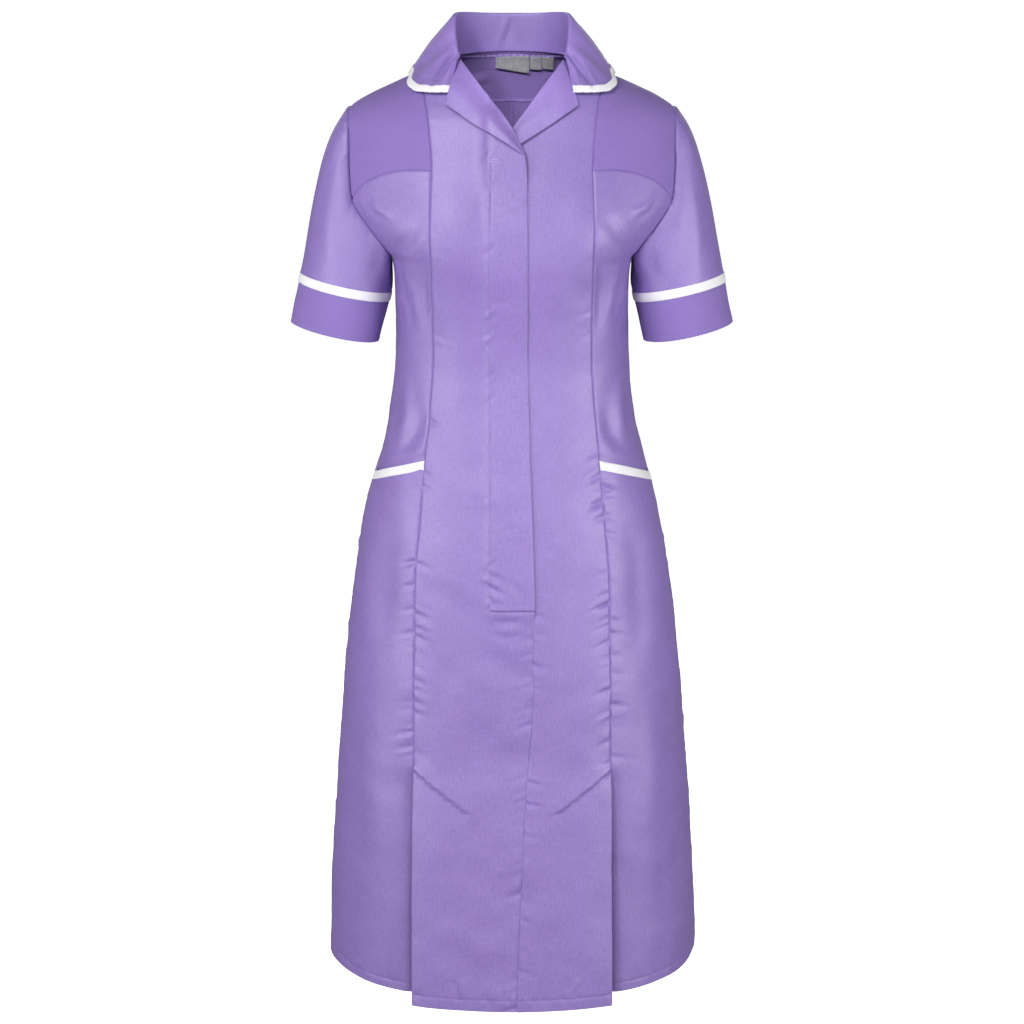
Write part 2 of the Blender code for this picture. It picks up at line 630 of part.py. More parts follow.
def collar_pieces():
    grid = collar_grid(13)
    normals = grid_normals(grid)
    grid_wall("collar", grid, normals, DOUBLE, "cloth")
    edge, above = grid[-1], grid[-2]
    inward = (above - edge) / np.linalg.norm(above - edge, axis=-1, keepdims=True)
    lift = normals[-1] * BINDING_OFF
    binding = np.array([edge + inward * BINDING_WIDTH + lift, edge - inward * BINDING_OVER + lift])
    grid_wall("collar_trim", binding, np.array([normals[-1]] * 2), TAPE, "trim")


def lapel(name, base, mirror):
    """The front's turned-back corner, between the roll line, the lapel's point and the break."""
    roll_x, roll_z = (curve([(i, p[axis]) for i, p in enumerate(ROLL)]) for axis in (0, 1))
    break_point = np.array(ROLL[0], float)
    grid, normals = [], []
    for along in np.linspace(LAPEL_START, 1, 6):
        roll = np.array((roll_x(along * 4), roll_z(along * 4)))
        edge = break_point + (np.array(LAPEL_POINT) - break_point) * along
        line, out = [], []
        for share in np.linspace(0, 1, 4):
            x, z = roll + (edge - roll) * share
            angle, height = on_front(x, z)
            normal = outward(angle, height)
            line.append(form(angle, height) + normal * (base(x, z) + DOUBLE + LAPEL_OFF))
            out.append(normal)
        grid.append(line)
        normals.append(out)
    grid_wall(name, np.array(grid), np.array(normals), DOUBLE, "cloth", mirror)


collar_pieces()
lapel("lapel_right", right_lift, True)
lapel("lapel_left", left_lift, False)


# ---- labels sewn into the back of the neck


def label(name, left, right, length):
    """A label hangs by its top edge inside the back yoke, and swings in a little towards its lower edge."""
    distances = np.linspace(left, right, 3)
    grid, out = [], []
    for drop in (length, length / 2, 0):
        line, normals = [], []
        for distance in distances:
            height = LABEL_TOP - drop
            share = (abs(distance) / half_width(height)) ** (back_square(height) / 2)
            angle = math.copysign(BACK - math.degrees(math.asin(share)), distance)
            normal = outward(angle, height)
            line.append(form(angle, height) - normal * (LABEL_BEHIND + LABEL_SWING * drop))
            normals.append(normal)
        grid.append(line)
        out.append(normals)
    grid, out = np.array(grid)[:, ::-1], np.array(out)[:, ::-1]
    grid_wall(name, grid, out, TAPE, "label")


for name, left, right, length in LABELS:
    label(name, left, right, length)

bpy.context.scene.collection.objects.link(dress)
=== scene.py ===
"""The nurse's uniform dress as it looks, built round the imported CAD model.

Each CAD piece is replaced by a finer sheet of cloth on the same form, with creases, folded edges, stitches
and weave. Lengths are millimetres on the form, turned to metres when a mesh is made. +Z is up, the front
faces -Y, and the wearer's right is at -X. A place on the form is an angle round it, 0 at the centre front,
90 at the wearer's left side and 180 at the centre back, and a height.
"""

import math

import bpy
import numpy as np
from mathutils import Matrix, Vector


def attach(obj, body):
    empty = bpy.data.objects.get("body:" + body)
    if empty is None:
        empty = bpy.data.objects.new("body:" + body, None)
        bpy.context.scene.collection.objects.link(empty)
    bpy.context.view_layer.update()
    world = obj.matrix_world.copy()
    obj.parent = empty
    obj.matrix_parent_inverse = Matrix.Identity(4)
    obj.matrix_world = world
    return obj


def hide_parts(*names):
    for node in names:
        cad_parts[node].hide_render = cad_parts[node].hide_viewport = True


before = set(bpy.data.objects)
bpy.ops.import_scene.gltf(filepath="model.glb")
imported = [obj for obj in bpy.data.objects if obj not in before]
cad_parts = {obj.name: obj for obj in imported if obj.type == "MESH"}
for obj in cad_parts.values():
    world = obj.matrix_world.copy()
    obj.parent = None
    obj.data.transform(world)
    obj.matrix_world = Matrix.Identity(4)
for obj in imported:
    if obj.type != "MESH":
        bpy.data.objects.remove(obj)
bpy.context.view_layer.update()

MM = 0.001
SIDE, BACK = 90.0, 180.0
CLOTH, DOUBLE, TAPE = 0.9, 1.5, 0.7  # walls of one layer of cloth, of two, and of the white tape
GAP = 0.04  # half of the space between two pieces at a seam
RIM_SWELL = 0.55  # how far a rounded edge swells, of half the wall

# ---- camera: a little above the dress, level with its neck, looking down at its middle

CAMERA_AT = (0, -2.8, 0.2)
CAMERA_DOWN = 14.28
CAMERA_LENS = 89.6

camera = bpy.data.objects.new("camera", bpy.data.cameras.new("camera"))
camera.location = CAMERA_AT
camera.rotation_euler = (math.radians(90 - CAMERA_DOWN), 0, 0)
camera.data.lens = CAMERA_LENS
bpy.context.scene.collection.objects.link(camera)
bpy.context.scene.camera = camera

# ---- the form, as in the CAD model

FORM = (
    # height, half_width, front depth, back depth, front squareness, back squareness
    (-1080, 217, 165, 156, 2.25, 2.3),
    (-1040, 215.5, 163, 154, 2.25, 2.3),
    (-947, 211, 156, 151, 2.25, 2.3),
    (-847, 204.5, 149, 147, 2.25, 2.3),
    (-749, 196.5, 141, 144, 2.25, 2.3),
    (-652, 187.5, 134, 141, 2.25, 2.3),
    (-557, 175.5, 127, 138, 2.3, 2.3),
    (-487, 161.5, 120, 131, 2.35, 2.3),
    (-440, 147.5, 112, 119, 2.4, 2.3),
    (-394, 137, 104, 106, 2.4, 2.35),
    (-340, 130.5, 99, 94, 2.45, 2.4),
    (-300, 128.8, 102, 90, 2.6, 2.45),
    (-255, 128.6, 110, 91, 2.8, 2.5),
    (-216, 132, 118, 94, 2.9, 2.6),
    (-205, 143, 119, 96, 2.75, 2.55),
    (-179, 168, 120.2, 99, 2.45, 2.45),
    (-150, 187, 115, 101, 2.3, 2.35),
    (-111, 190, 103, 100, 2.25, 2.35),
    (-75, 188, 91, 95, 2.25, 2.35),
    (-62, 181, 86, 91, 2.25, 2.35),
    (-56, 175, 83, 89, 2.25, 2.35),
    (-45, 158, 77, 85, 2.25, 2.35),
    (-33, 133, 70, 80, 2.25, 2.35),
    (-20, 103, 61, 74, 2.2, 2.3),
    (-10, 79, 53, 69, 2.15, 2.25),
    (0, 59, 42, 62, 2.1, 2.2),
    (12, 36, 22, 50, 2.1, 2.2),
)
BUST_RISE, BUST_OUT, BUST_HEIGHT, BUST_REACH = 7, 76, -186, 44
PRINCESS = (
    (-1080, 108.4), (-900, 109.4), (-778, 110), (-695, 109.3), (-581, 107.3), (-486, 100.7), (-435, 95.8),
    (-381, 90.6), (-316, 86.5), (-240, 87.2), (-174, 87.7), (-112, 86), (-75, 88.5), (-48, 92), (-28, 96),
    (-20, 98),
)
FRONT_EDGE = (
    (-1080, 4), (-1000, 6.5), (-945, 8.5), (-883, 11.5), (-790, 16), (-748, 20), (-677, 24), (-591, 24.8),
    (-556, 24), (-458, 20.6), (-386, 18.4), (-315, 16.6), (-163, 16.4), (-119, 15.6), (-101, 13.7),
)
ROLL = ((-13.7, -101), (0, -75), (18, -51), (36, -28), (54.6, -6))
LAPEL_POINT = (70, -50)
NECK_SIDE_HEIGHT, SHOULDER_SEAM_HEIGHT = -3, -20
CENTRE_HEM, PLEAT_HEM, SIDE_HEM, BACK_HEM = -1046, -1038, -1030, -1036
YOKE_ROWS = (-115, -95, -75, -56, -40, -28)
ARMHOLE = (
    (90, -56), (78, -61), (69.5, -72), (66.5, -92), (66.3, -112), (66, -132), (65.9, -150), (65.5, -166),
    (65.5, -181), (66.5, -196), (71, -208), (80, -214), (90, -216), (100, -214), (109, -208), (113.5, -196),
    (114.5, -181), (114.5, -160), (114, -140), (113.5, -120), (113, -100), (112, -80), (108, -68), (100, -60),
)
FRONT_SEAM, BOTTOM, BACK_SEAM = 6, 12, 20  # stations of the armhole where seams meet it
YOKE_BOW, BACK_YOKE_HEIGHT, BACK_YOKE_BOW = 11, -58, 11
TAPE_MIDDLE = np.array((184.6, -4.0, -253.0))
SLEEVE_LEAN, SLEEVE_FORWARD = 12.5, 2.5
SLEEVE_WIDE = ((-60, 55), (-10, 51.4), (52, 50.5))
SLEEVE_DEEP = ((-60, 63), (0, 59.5), (52, 56))
CUFF_LENGTH, TAPE_WIDTH = 51, 10
POCKET_IN, POCKET_OUT, POCKET_BAND = -432.5, -465, 9.5
BAG_BEHIND = 3.2
PLACKET_LIFT, PLACKET_STITCH, PLACKET_END = 2.2, 23, -592
CROSSING_LIFT, UNDERLAP = 5.0, 18
# how far the centre front stands off the form, and the side panel tucks in beside it, by height
CENTRE_STANDS = (
    (-1080, 13), (-1044, 12.5), (-930, 8.5), (-860, 5.5), (-800, 3), (-772, 0.4), (-760, 0), (0, 0)
)
SIDE_TUCKS = ((-1080, 6), (-1038, 6), (-930, 5), (-860, 3.8), (-800, 2.6), (-772, 0.3), (-760, 0), (0, 0))
TUCK_REACH, TUCK_STEEP, PLEAT_DEPTH = 55, 1.3, 52
PLEAT_TOP, PLEAT_INNER = (110, -778), (48.5, -822)  # the ends of the slanting stitches that hold the pleat
COLLAR = (
    # angle of the foot, point on the roll, angle and height of the edge, how far the edge stands off
    (180, (0, 60, 40), 180, -19, 6),
    (160, (25, 57, 40.5), 154, -19, 6),
    (140, (44, 47, 42), 129, -19, 6),
    (120, (56, 30, 43), 106, -20, 6),
    (98, (60.5, 10, 41), 86, -22, 6),
    (84, (60.5, -3, 31), 72, -23.5, 6),
    (72, (59.5, -13, 19), 54, -31.5, 5.5),
    (64, (58, -20, 9), 39, -37, 6.5),
    (58, (56, -26.5, 0.5), 23.8, -37.5, 7.5),
)
ROLL_RADIUS, LEAF_BULGE, BINDING_WIDTH = 2.6, 2.5, 7.2


def curve(knots):
    """A smooth curve through (position, value) knots that doesn't overshoot them."""
    at, value = np.array(sorted(knots), float).T
    step = np.diff(at)
    slope = np.diff(value) / step
    lean = np.concatenate([slope[:1], np.zeros(len(at) - 2), slope[-1:]])
    for i in range(1, len(at) - 1):
        if slope[i - 1] * slope[i] > 0:
            near, far = 2 * step[i] + step[i - 1], step[i] + 2 * step[i - 1]
            lean[i] = (near + far) / (near / slope[i - 1] + far / slope[i])

    def read(position):
        position = np.clip(position, at[0], at[-1])
        i = np.clip(np.searchsorted(at, position) - 1, 0, len(step) - 1)
        s = (position - at[i]) / step[i]
        start = value[i] * (1 + 2 * s) + lean[i] * step[i] * s
        end = value[i + 1] * (3 - 2 * s) + lean[i + 1] * step[i] * (s - 1)
        return start * (1 - s) ** 2 + end * s * s

    return read


def on_index(values):
    return curve(list(enumerate(values)))


def track(points):
    """A smooth way through points, read at fractional indices."""
    ways = [on_index(values) for values in np.array(points, float).T]
    return lambda where: np.stack([way(where) for way in ways], axis=-1)


half_width, front_depth, back_depth, front_square, back_square = (
    curve([(row[0], row[k]) for row in FORM]) for k in range(1, 6)
)
princess, front_edge = curve(PRINCESS), curve(FRONT_EDGE)
centre_stands, side_tucks = curve(CENTRE_STANDS), curve(SIDE_TUCKS)
sleeve_wide, sleeve_deep = curve(SLEEVE_WIDE), curve(SLEEVE_DEEP)


def form(angle, height):
    """Points of the form at these angles and heights."""
    angle, height = np.broadcast_arrays(np.radians(np.asarray(angle, float)), np.asarray(height, float))
    across, ahead = np.sin(angle), np.cos(angle)
    before = ahead > 0
    power = 2 / np.where(before, front_square(height), back_square(height))
    x = half_width(height) * np.sign(across) * np.abs(across) ** power
    depth = np.where(before, front_depth(height), back_depth(height))
    y = -depth * np.sign(ahead) * np.abs(ahead) ** power
    bust = ((np.abs(x) - BUST_OUT) / BUST_REACH) ** 2 + ((height - BUST_HEIGHT) / BUST_REACH) ** 2
    y = y - np.where(before, BUST_RISE * np.exp(-bust), 0)
    return np.stack([x, y, height], axis=-1)


def unit(vectors):
    return vectors / np.maximum(np.linalg.norm(vectors, axis=-1, keepdims=True), 1e-9)


def outward(angle, height):
    """Unit vectors out of the form."""
    angle, height = np.asarray(angle, float), np.asarray(height, float)
    round_it = form(angle + 0.5, height) - form(angle - 0.5, height)
    up = form(angle, height + 0.5) - form(angle, height - 0.5)
    return unit(np.cross(round_it, up))


def on_front(distance, height):
    """The angle on the front at this distance from the middle."""
    share = np.clip(np.abs(distance) / half_width(height), 0, 1)
    return np.sign(distance) * np.degrees(np.arcsin(share ** (front_square(height) / 2)))


def smooth_step(value, low, high):
    share = np.clip((value - low) / (high - low), 0, 1)
    return share * share * (3 - 2 * share)


def bell(distance, reach):
    return np.exp(-((distance / reach) ** 2))


def armhole(station):
    """(angle, height) round the armhole at a station, a smooth closed curve through the table."""
    station = np.asarray(station, float)
    whole = np.floor(station).astype(int)
    t = (station - whole)[..., None]
    a, b, c, d = (np.array(ARMHOLE, float)[(whole + k) % len(ARMHOLE)] for k in (-1, 0, 1, 2))
    return 0.5 * (2 * b + (c - a) * t + (2 * a - 5 * b + 4 * c - d) * t**2 + (3 * b - a - 3 * c + d) * t**3)


# ---- relief: what the cloth does on top of the form, in millimetres outward


def lattice_noise(points, size, seed, stretch=(1, 1, 1)):
    """Smooth noise from -1 to 1, with lumps of this size."""
    cells = 32
    table = np.random.default_rng(seed).uniform(-1, 1, (cells, cells, cells))
    place = points / (size * np.array(stretch))
    low = np.floor(place).astype(int)
    t = place - low
    t = t * t * (3 - 2 * t)
    total = np.zeros(points.shape[:-1])
    for corner in np.ndindex(2, 2, 2):
        weight = np.prod(np.where(np.array(corner), t, 1 - t), axis=-1)
        total += weight * table[tuple(((low + corner) % cells)[..., k] for k in range(3))]
    return total


def ripple(distance, wavelength, seed):
    """An irregular wave along a line, from -1 to 1."""
    rng = np.random.default_rng(seed)
    total = np.zeros(np.shape(distance))
    for share in (0.62, 0.85, 1.0, 1.37, 1.9):
        phase, weight = rng.uniform(0, 2 * math.pi), rng.uniform(0.5, 1)
        total = total + weight * np.sin(2 * math.pi * distance / (wavelength * share) + phase)
    return total / 2.4


def along(line, samples=14):
    """Points on a smooth line through the given ones."""
    return track(line)(np.linspace(0, len(line) - 1, samples))


def crease(points, line, width, depth, blunt=0.6):
    """A soft trough, or a ridge where depth is positive, that fades towards both ends of the line."""
    line = along(line)
    reach = 3 * width
    low, high = line.min(axis=0) - reach, line.max(axis=0) + reach
    near = ((points > low) & (points < high)).all(axis=-1)
    total = np.zeros(points.shape[:-1])
    if not near.any():
        return total
    close = points[near]
    nearest = np.full(len(close), 1e9)
    where = np.zeros(len(close))
    for i in range(len(line) - 1):
        step = line[i + 1] - line[i]
        share = np.clip((close - line[i]) @ step / (step @ step), 0, 1)
        distance = np.linalg.norm(close - line[i] - share[:, None] * step, axis=-1)
        better = distance < nearest
        nearest[better] = distance[better]
        where[better] = (i + share[better]) / (len(line) - 1)
    fade = np.sin(math.pi * np.clip(where, 0.02, 0.98)) ** blunt
    ridge = bell(nearest, width) - 0.35 * bell(nearest - 1.9 * width, width)
    total[near] = depth * fade * ridge
    return total


def front(*pairs):
    """Points of the front at (distance from the middle, height)."""
    return [form(on_front(x, z), z) for x, z in pairs]


def around(*pairs):
    """Points of the form at (angle, height)."""
    return [form(a, z) for a, z in pairs]


CREASES = [
    # line, width, depth
    # below the bust, beside the princess seams
    (front((-93, -205), (-95, -240), (-92, -285)), 7, -1.5),
    (front((93, -205), (96, -245), (93, -290)), 7, -1.7),
    (front((-110, -190), (-112, -230), (-108, -275)), 8, 0.9),
    (front((112, -185), (113, -225), (108, -270)), 8, 0.9),
    # drawn from the armpits towards the bust
    (front((-126, -206), (-112, -190), (-96, -168)), 7, -1.1),
    (front((127, -208), (114, -186), (97, -160)), 7, -1.2),
    (front((-150, -150), (-142, -158), (-130, -163)), 4, 1.4),
    (front((150, -148), (142, -156), (129, -160)), 4, 1.4),
    # the centre front below the neck
    (front((-60, -120), (-30, -150), (-24, -190)), 16, -0.8),
    (front((30, -130), (52, -170), (60, -215)), 18, -0.7),
    # at the waist
    (front((-97, -378), (-107, -405), (-124, -428)), 10, -1.6),
    (front((-116, -345), (-117, -385), (-124, -425)), 9, 1.0),
    (front((98, -374), (109, -402), (126, -426)), 10, -1.6),
    (front((117, -345), (118, -385), (125, -425)), 9, 1.0),
    (front((-70, -415), (-35, -432), (8, -436)), 14, -0.8),
    (front((-60, -455), (-20, -470), (15, -468)), 12, 0.8),
    (front((24, -420), (55, -436), (84, -430)), 13, -0.8),
    (front((-45, -330), (-20, -350), (-12, -392)), 12, -0.7),
    (front((26, -350), (50, -372), (80, -372)), 12, -0.6),
    # pulled up by the placket's end
    (front((-34, -547), (-22, -552), (-8, -559)), 2.6, -1.0),
    (front((-32, -556), (-22, -560), (-10, -567)), 2.2, 0.8),
    (front((-30, -562), (-20, -568), (-8, -574)), 2.6, -1.0),
    (front((-26, -570), (-18, -576), (-8, -581)), 2.4, 0.7),
    (front((-8, -556), (4, -566), (14, -578)), 4.5, -0.8),
    (front((-18, -602), (-4, -604), (10, -600)), 3.4, -0.9),
    (front((-22, -611), (-6, -614), (12, -612)), 4, 0.8),
    (front((-40, -640), (-10, -652), (20, -668)), 12, -0.8),
    # the skirt's centre front
    (front((-95, -560), (-72, -580), (-50, -610)), 12, -0.9),
    (front((-100, -640), (-70, -668), (-60, -705)), 14, -0.9),
    (front((90, -545), (72, -575), (66, -610)), 12, -0.9),
    (front((96, -650), (74, -680), (50, -700)), 14, -0.8),
    (front((-40, -735), (0, -760), (30, -748)), 18, -0.8),
    (front((-20, -900), (10, -912), (46, -905)), 16, -0.8),
    (front((-60, -960), (-24, -972), (4, -966)), 16, 0.8),
    # at the centre front's hem
    (front((-66, -1012), (-60, -1021), (-57, -1034)), 2.6, -1.3),
    (front((-49, -1008), (-53, -1018), (-56, -1030)), 2.8, 0.9),
    (front((62, -1008), (64, -1020), (69, -1033)), 2.6, -1.3),
    (front((73, -1010), (68, -1018), (64, -1030)), 2.8, 0.9),
    # skirt sides
    (front((-128, -500), (-140, -560), (-144, -640)), 16, -1.4),
    (front((126, -496), (138, -555), (142, -640)), 16, -1.4),
    (front((-150, -700), (-154, -790), (-156, -880)), 20, 1.2),
    (front((150, -690), (155, -780), (158, -880)), 20, 1.2),
    # back: from the shoulders down to the waist, and across the small of the back
    (around((150, -110), (144, -170), (140, -240)), 12, -1.6),
    (around((-151, -115), (-145, -175), (-139, -245)), 12, -1.7),
    (around((122, -215), (133, -235), (146, -245)), 8, -1.6),
    (around((-122, -214), (-134, -236), (-147, -243)), 8, -1.5),
    (around((128, -300), (150, -322), (172, -326)), 8, -1.5),
    (around((-130, -306), (-152, -326), (-174, -321)), 8, -1.6),
    (around((134, -352), (156, -366), (178, -362)), 9, 1.3),
    (around((-134, -356), (-158, -369), (-177, -364)), 9, 1.2),
    (around((122, -388), (140, -412), (160, -420)), 11, -1.5),
    (around((-124, -392), (-142, -414), (-162, -418)), 11, -1.4),
    (around((150, -560), (148, -660), (144, -780)), 20, -1.4),
    (around((-152, -575), (-147, -680), (-146, -800)), 20, -1.5),
    (around((122, -620), (120, -740), (119, -880)), 22, 1.5),
    (around((-121, -640), (-121, -760), (-118, -900)), 22, 1.4),
    (around((103, -520), (101, -600), (103, -700)), 14, -1.2),
    (around((-103, -530), (-102, -615), (-104, -705)), 14, -1.2),
    # inside the back of the neck
    (around((168, -42), (161, -33), (153, -27)), 4, 2.2),
    (around((-171, -30), (-166, -36), (-160, -46)), 5, -1.4),
]


CREASE_STRENGTH = 1.6
UNEVEN = ((1.25, 46, 3, (1, 1, 1.35)), (0.6, 19, 5, (1, 1, 1.2)))  # rise, size, seed, stretch
CRUMPLED_AT, CRUMPLED_REACH = (112, -262), (13, 34)
SKIRT_WAVES = 1.8


def relief(points, angle, height):
    """The body's creases and slow unevenness. It depends only on the place, so seams stay closed."""
    total = np.zeros(points.shape[:-1])
    for line, width, depth in CREASES:
        total += crease(points, line, width, CREASE_STRENGTH * depth)
    calm = 1 - 0.55 * smooth_step(height, -330, -150)
    for rise, size, seed, stretch in UNEVEN:
        total += calm * rise * lattice_noise(points, size, seed, stretch)
    aside = (np.abs(points[..., 0]) - CRUMPLED_AT[0]) / CRUMPLED_REACH[0]
    crumpled = np.exp(-(aside**2) - ((height - CRUMPLED_AT[1]) / CRUMPLED_REACH[1]) ** 2)
    crumpled = crumpled * (np.abs(angle) < SIDE)
    total += 1.4 * crumpled * lattice_noise(points, 8, 7, (0.8, 1, 1.6))
    for sign in (-1, 1):
        ends = [(sign * x, z) for x, z in (PLEAT_TOP, PLEAT_INNER)]
        total += stitched_step(points, ends, 1.9) * (np.abs(angle) < 60)
    waves = smooth_step(-height, 520, 1040) * smooth_step(np.abs(angle), 62, 100)
    total += SKIRT_WAVES * waves * np.sin(np.radians(angle) * 9 + 0.7 * np.sin(height / 170))
    return total


def seam_pucker(distance, run, seed, strength):
    """Small slanting gathers beside a sewn seam, bunched here and there, and flat on the seam itself."""
    rise = np.clip(distance, 0, None) / 4.6
    profile = rise * np.exp(1 - rise)
    bunched = np.clip(0.6 + 0.8 * ripple(run, 130, seed + 1), 0.2, 1.1)
    tucks = -2.6 * np.clip(ripple(run + 0.3 * distance, 14, seed) - 0.05, 0, 1) ** 1.5
    return strength * profile * bunched * (0.45 * ripple(run + 0.5 * distance, 23, seed + 2) + tucks)


def stitched_step(points, line, amount):
    """A line of stitches that holds a fold: a ridge above it and a sharp trough just below."""
    start, end = np.array(line[0], float), np.array(line[1], float)
    step = end - start
    length = np.linalg.norm(step)
    flat = points[..., [0, 2]] - start
    share = flat @ step / length**2
    above = (flat[..., 1] * step[0] - flat[..., 0] * step[1]) / length
    above = above * np.sign(step[0])
    fade = smooth_step(share, -0.06, 0.06) * (1 - smooth_step(share, 0.92, 1.08))
    fade = fade * (1 + 0.15 * ripple(share * length, 17, 61))
    ridge = 0.75 * bell(above - 2.4, 2.2) + 0.35 * bell(above - 9, 6)
    hollow = smooth_step(above, 0, -2) * smooth_step(above, -26, -6)
    trough = 1.3 * bell(above + 0.6, 1.4) + 0.35 * hollow
    return amount * fade * (ridge - trough)


# ---- sheets of cloth


def spread(length, step, fine_first=True, fine_last=True, marks=()):
    """Shares from 0 to 1 along a length, closer together near its ends and round the marks."""
    near = (0.6, 1.3, 2.2, 3.4)
    at = list(np.arange(0, length + step / 2, length / max(round(length / step), 1)))
    for end, wanted, sign in ((0, fine_first, 1), (length, fine_last, -1)):
        if wanted:
            at = [a for a in at if abs(a - end) > near[-1] + step / 3 or a == end]
            at += [end + sign * n for n in near]
    for mark in marks:
        at = [a for a in at if abs(a - mark) > 1.6 or a in (0, length)]
        at += [mark - 1.2, mark - 0.5, mark, mark + 0.5, mark + 1.2]
    at = sorted(a for a in {round(a, 4) for a in [*at, 0, length]} if 0 <= a <= length)
    return np.array(at) / length


def edge_distances(grid):
    """How far each point is from the grid's first and last row and column, along the cloth."""
    up = np.linalg.norm(np.diff(grid, axis=0), axis=-1)
    over = np.linalg.norm(np.diff(grid, axis=1), axis=-1)
    from_bottom = np.concatenate([np.zeros((1, grid.shape[1])), np.cumsum(up, axis=0)])
    from_first = np.concatenate([np.zeros((grid.shape[0], 1)), np.cumsum(over, axis=1)], axis=1)
    return {
        "bottom": from_bottom,
        "top": from_bottom[-1:] - from_bottom,
        "first": from_first,
        "last": from_first[:, -1:] - from_first,
    }


def grid_normals(grid, ring=False):
    """Unit vectors out of a grid whose rows run up and whose columns run to the right, from outside."""
    up = np.gradient(grid, axis=0)
    if ring:
        over = np.roll(grid, -1, axis=1) - np.roll(grid, 1, axis=1)
    else:
        over = np.gradient(grid, axis=1)
    return unit(np.cross(over, up))


def pulled_in(grid, edges, pull=GAP):
    """The grid with these edges moved in along the cloth, so that pieces don't touch at a seam."""
    grid = grid.copy()
    for edge in edges:
        here, beside = {
            "bottom": (np.s_[0], np.s_[1]),
            "top": (np.s_[-1], np.s_[-2]),
            "first": (np.s_[:, 0], np.s_[:, 1]),
            "last": (np.s_[:, -1], np.s_[:, -2]),
        }[edge]
        grid[here] += unit(grid[beside] - grid[here]) * pull
    return grid


def quads_of(rows, columns, ring=False):
    r, c = np.meshgrid(np.arange(rows - 1), np.arange(columns if ring else columns - 1), indexing="ij")
    d = (c + 1) % columns
    corners = (r * columns + c, r * columns + d, (r + 1) * columns + d, (r + 1) * columns + c)
    return np.stack(corners, -1).reshape(-1, 4)


def object_of(name, points, faces, finish, slot, weave=None):
    """A smooth mesh of these points in millimetres, on the part. Faces are an array of quads, or a list."""
    mesh = bpy.data.meshes.new(name)
    if isinstance(faces, np.ndarray):
        mesh.vertices.add(len(points))
        mesh.vertices.foreach_set("co", (np.asarray(points) * MM).ravel())
        mesh.loops.add(faces.size)
        mesh.loops.foreach_set("vertex_index", faces.ravel().astype(np.int32))
        mesh.polygons.add(len(faces))
        mesh.polygons.foreach_set("loop_start", np.arange(0, faces.size, 4, dtype=np.int32))
        mesh.update(calc_edges=True)
        mesh.validate()
    else:
        mesh.from_pydata((np.asarray(points) * MM).tolist(), [], faces)
    if weave is not None:
        layer = mesh.attributes.new("weave", "FLOAT_VECTOR", "POINT")
        layer.data.foreach_set("vector", np.asarray(weave, np.float32).ravel())
    mesh.materials.append(finish)
    mesh.shade_smooth()
    piece = bpy.data.objects.new(name, mesh)
    bpy.context.scene.collection.objects.link(piece)
    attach(piece, "root")
    return piece


def rim_of(rows, columns, ring):
    """The loops of grid indices round the free edges, each with the cloth on its left."""
    index = np.arange(rows * columns).reshape(rows, columns)
    if ring:
        return [list(index[0]), list(index[-1][::-1])]
    return [[*index[0], *index[1:, -1], *index[-1, -2::-1], *index[-2:0:-1, 0]]]


def cloth(node, grid, normals, finish, slot, wall=CLOTH, ring=False, grain=0.0, threads=None):
    """A closed wall behind the grid, with rounded edges, in place of the CAD node of this name.

    grain shifts the weave, so that pieces differ, and threads are the places of points across and up it.
    """
    rows, columns = grid.shape[:2]
    wall = np.broadcast_to(np.asarray(wall, float), (rows, columns))
    front_side = grid.reshape(-1, 3)
    back_side = front_side - normals.reshape(-1, 3) * wall.reshape(-1, 1)
    if threads is None:
        distances = edge_distances(grid)
        threads = distances["first"], distances["bottom"]
    weave = np.stack([*threads, 0 * grid[..., 0]], -1)
    weave = weave.reshape(-1, 3) * MM + (grain, grain, 0)
    count = rows * columns
    quads = quads_of(rows, columns, ring)
    faces = [quads, quads[:, [0, 3, 2, 1]] + count]
    points, weaves = [front_side, back_side], [weave, weave]
    total = 2 * count
    for loop in rim_of(rows, columns, ring):
        loop = np.array(loop)
        middle = (front_side[loop] + back_side[loop]) / 2
        ahead = unit(np.roll(middle, -1, axis=0) - np.roll(middle, 1, axis=0))
        aside = unit(np.cross(ahead, front_side[loop] - back_side[loop]))
        half = np.linalg.norm(front_side[loop] - back_side[loop], axis=-1, keepdims=True) / 2
        points.append(middle + aside * half * RIM_SWELL)
        weaves.append(weave[loop])
        outer, inner, edge = loop, loop + count, total + np.arange(len(loop))
        for a, b in ((outer, edge), (edge, inner)):
            faces.append(np.stack([np.roll(a, -1), a, b, np.roll(b, -1)], -1))
        total += len(loop)
    points, faces = np.concatenate(points), np.concatenate(faces)
    piece = object_of(f"cloth_{node}", points, faces, finish, slot, np.concatenate(weaves))
    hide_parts(node)
    return piece


def seam_roll(distance, depth=1.15, reach=1.25):
    return -depth * bell(distance, reach)


def interpolated(values, where):
    """Rows of values read at fractional indices."""
    low = np.clip(np.floor(where).astype(int), 0, len(values) - 2)
    share = (where - low)[:, None]
    return values[low] * (1 - share) + values[low + 1] * share


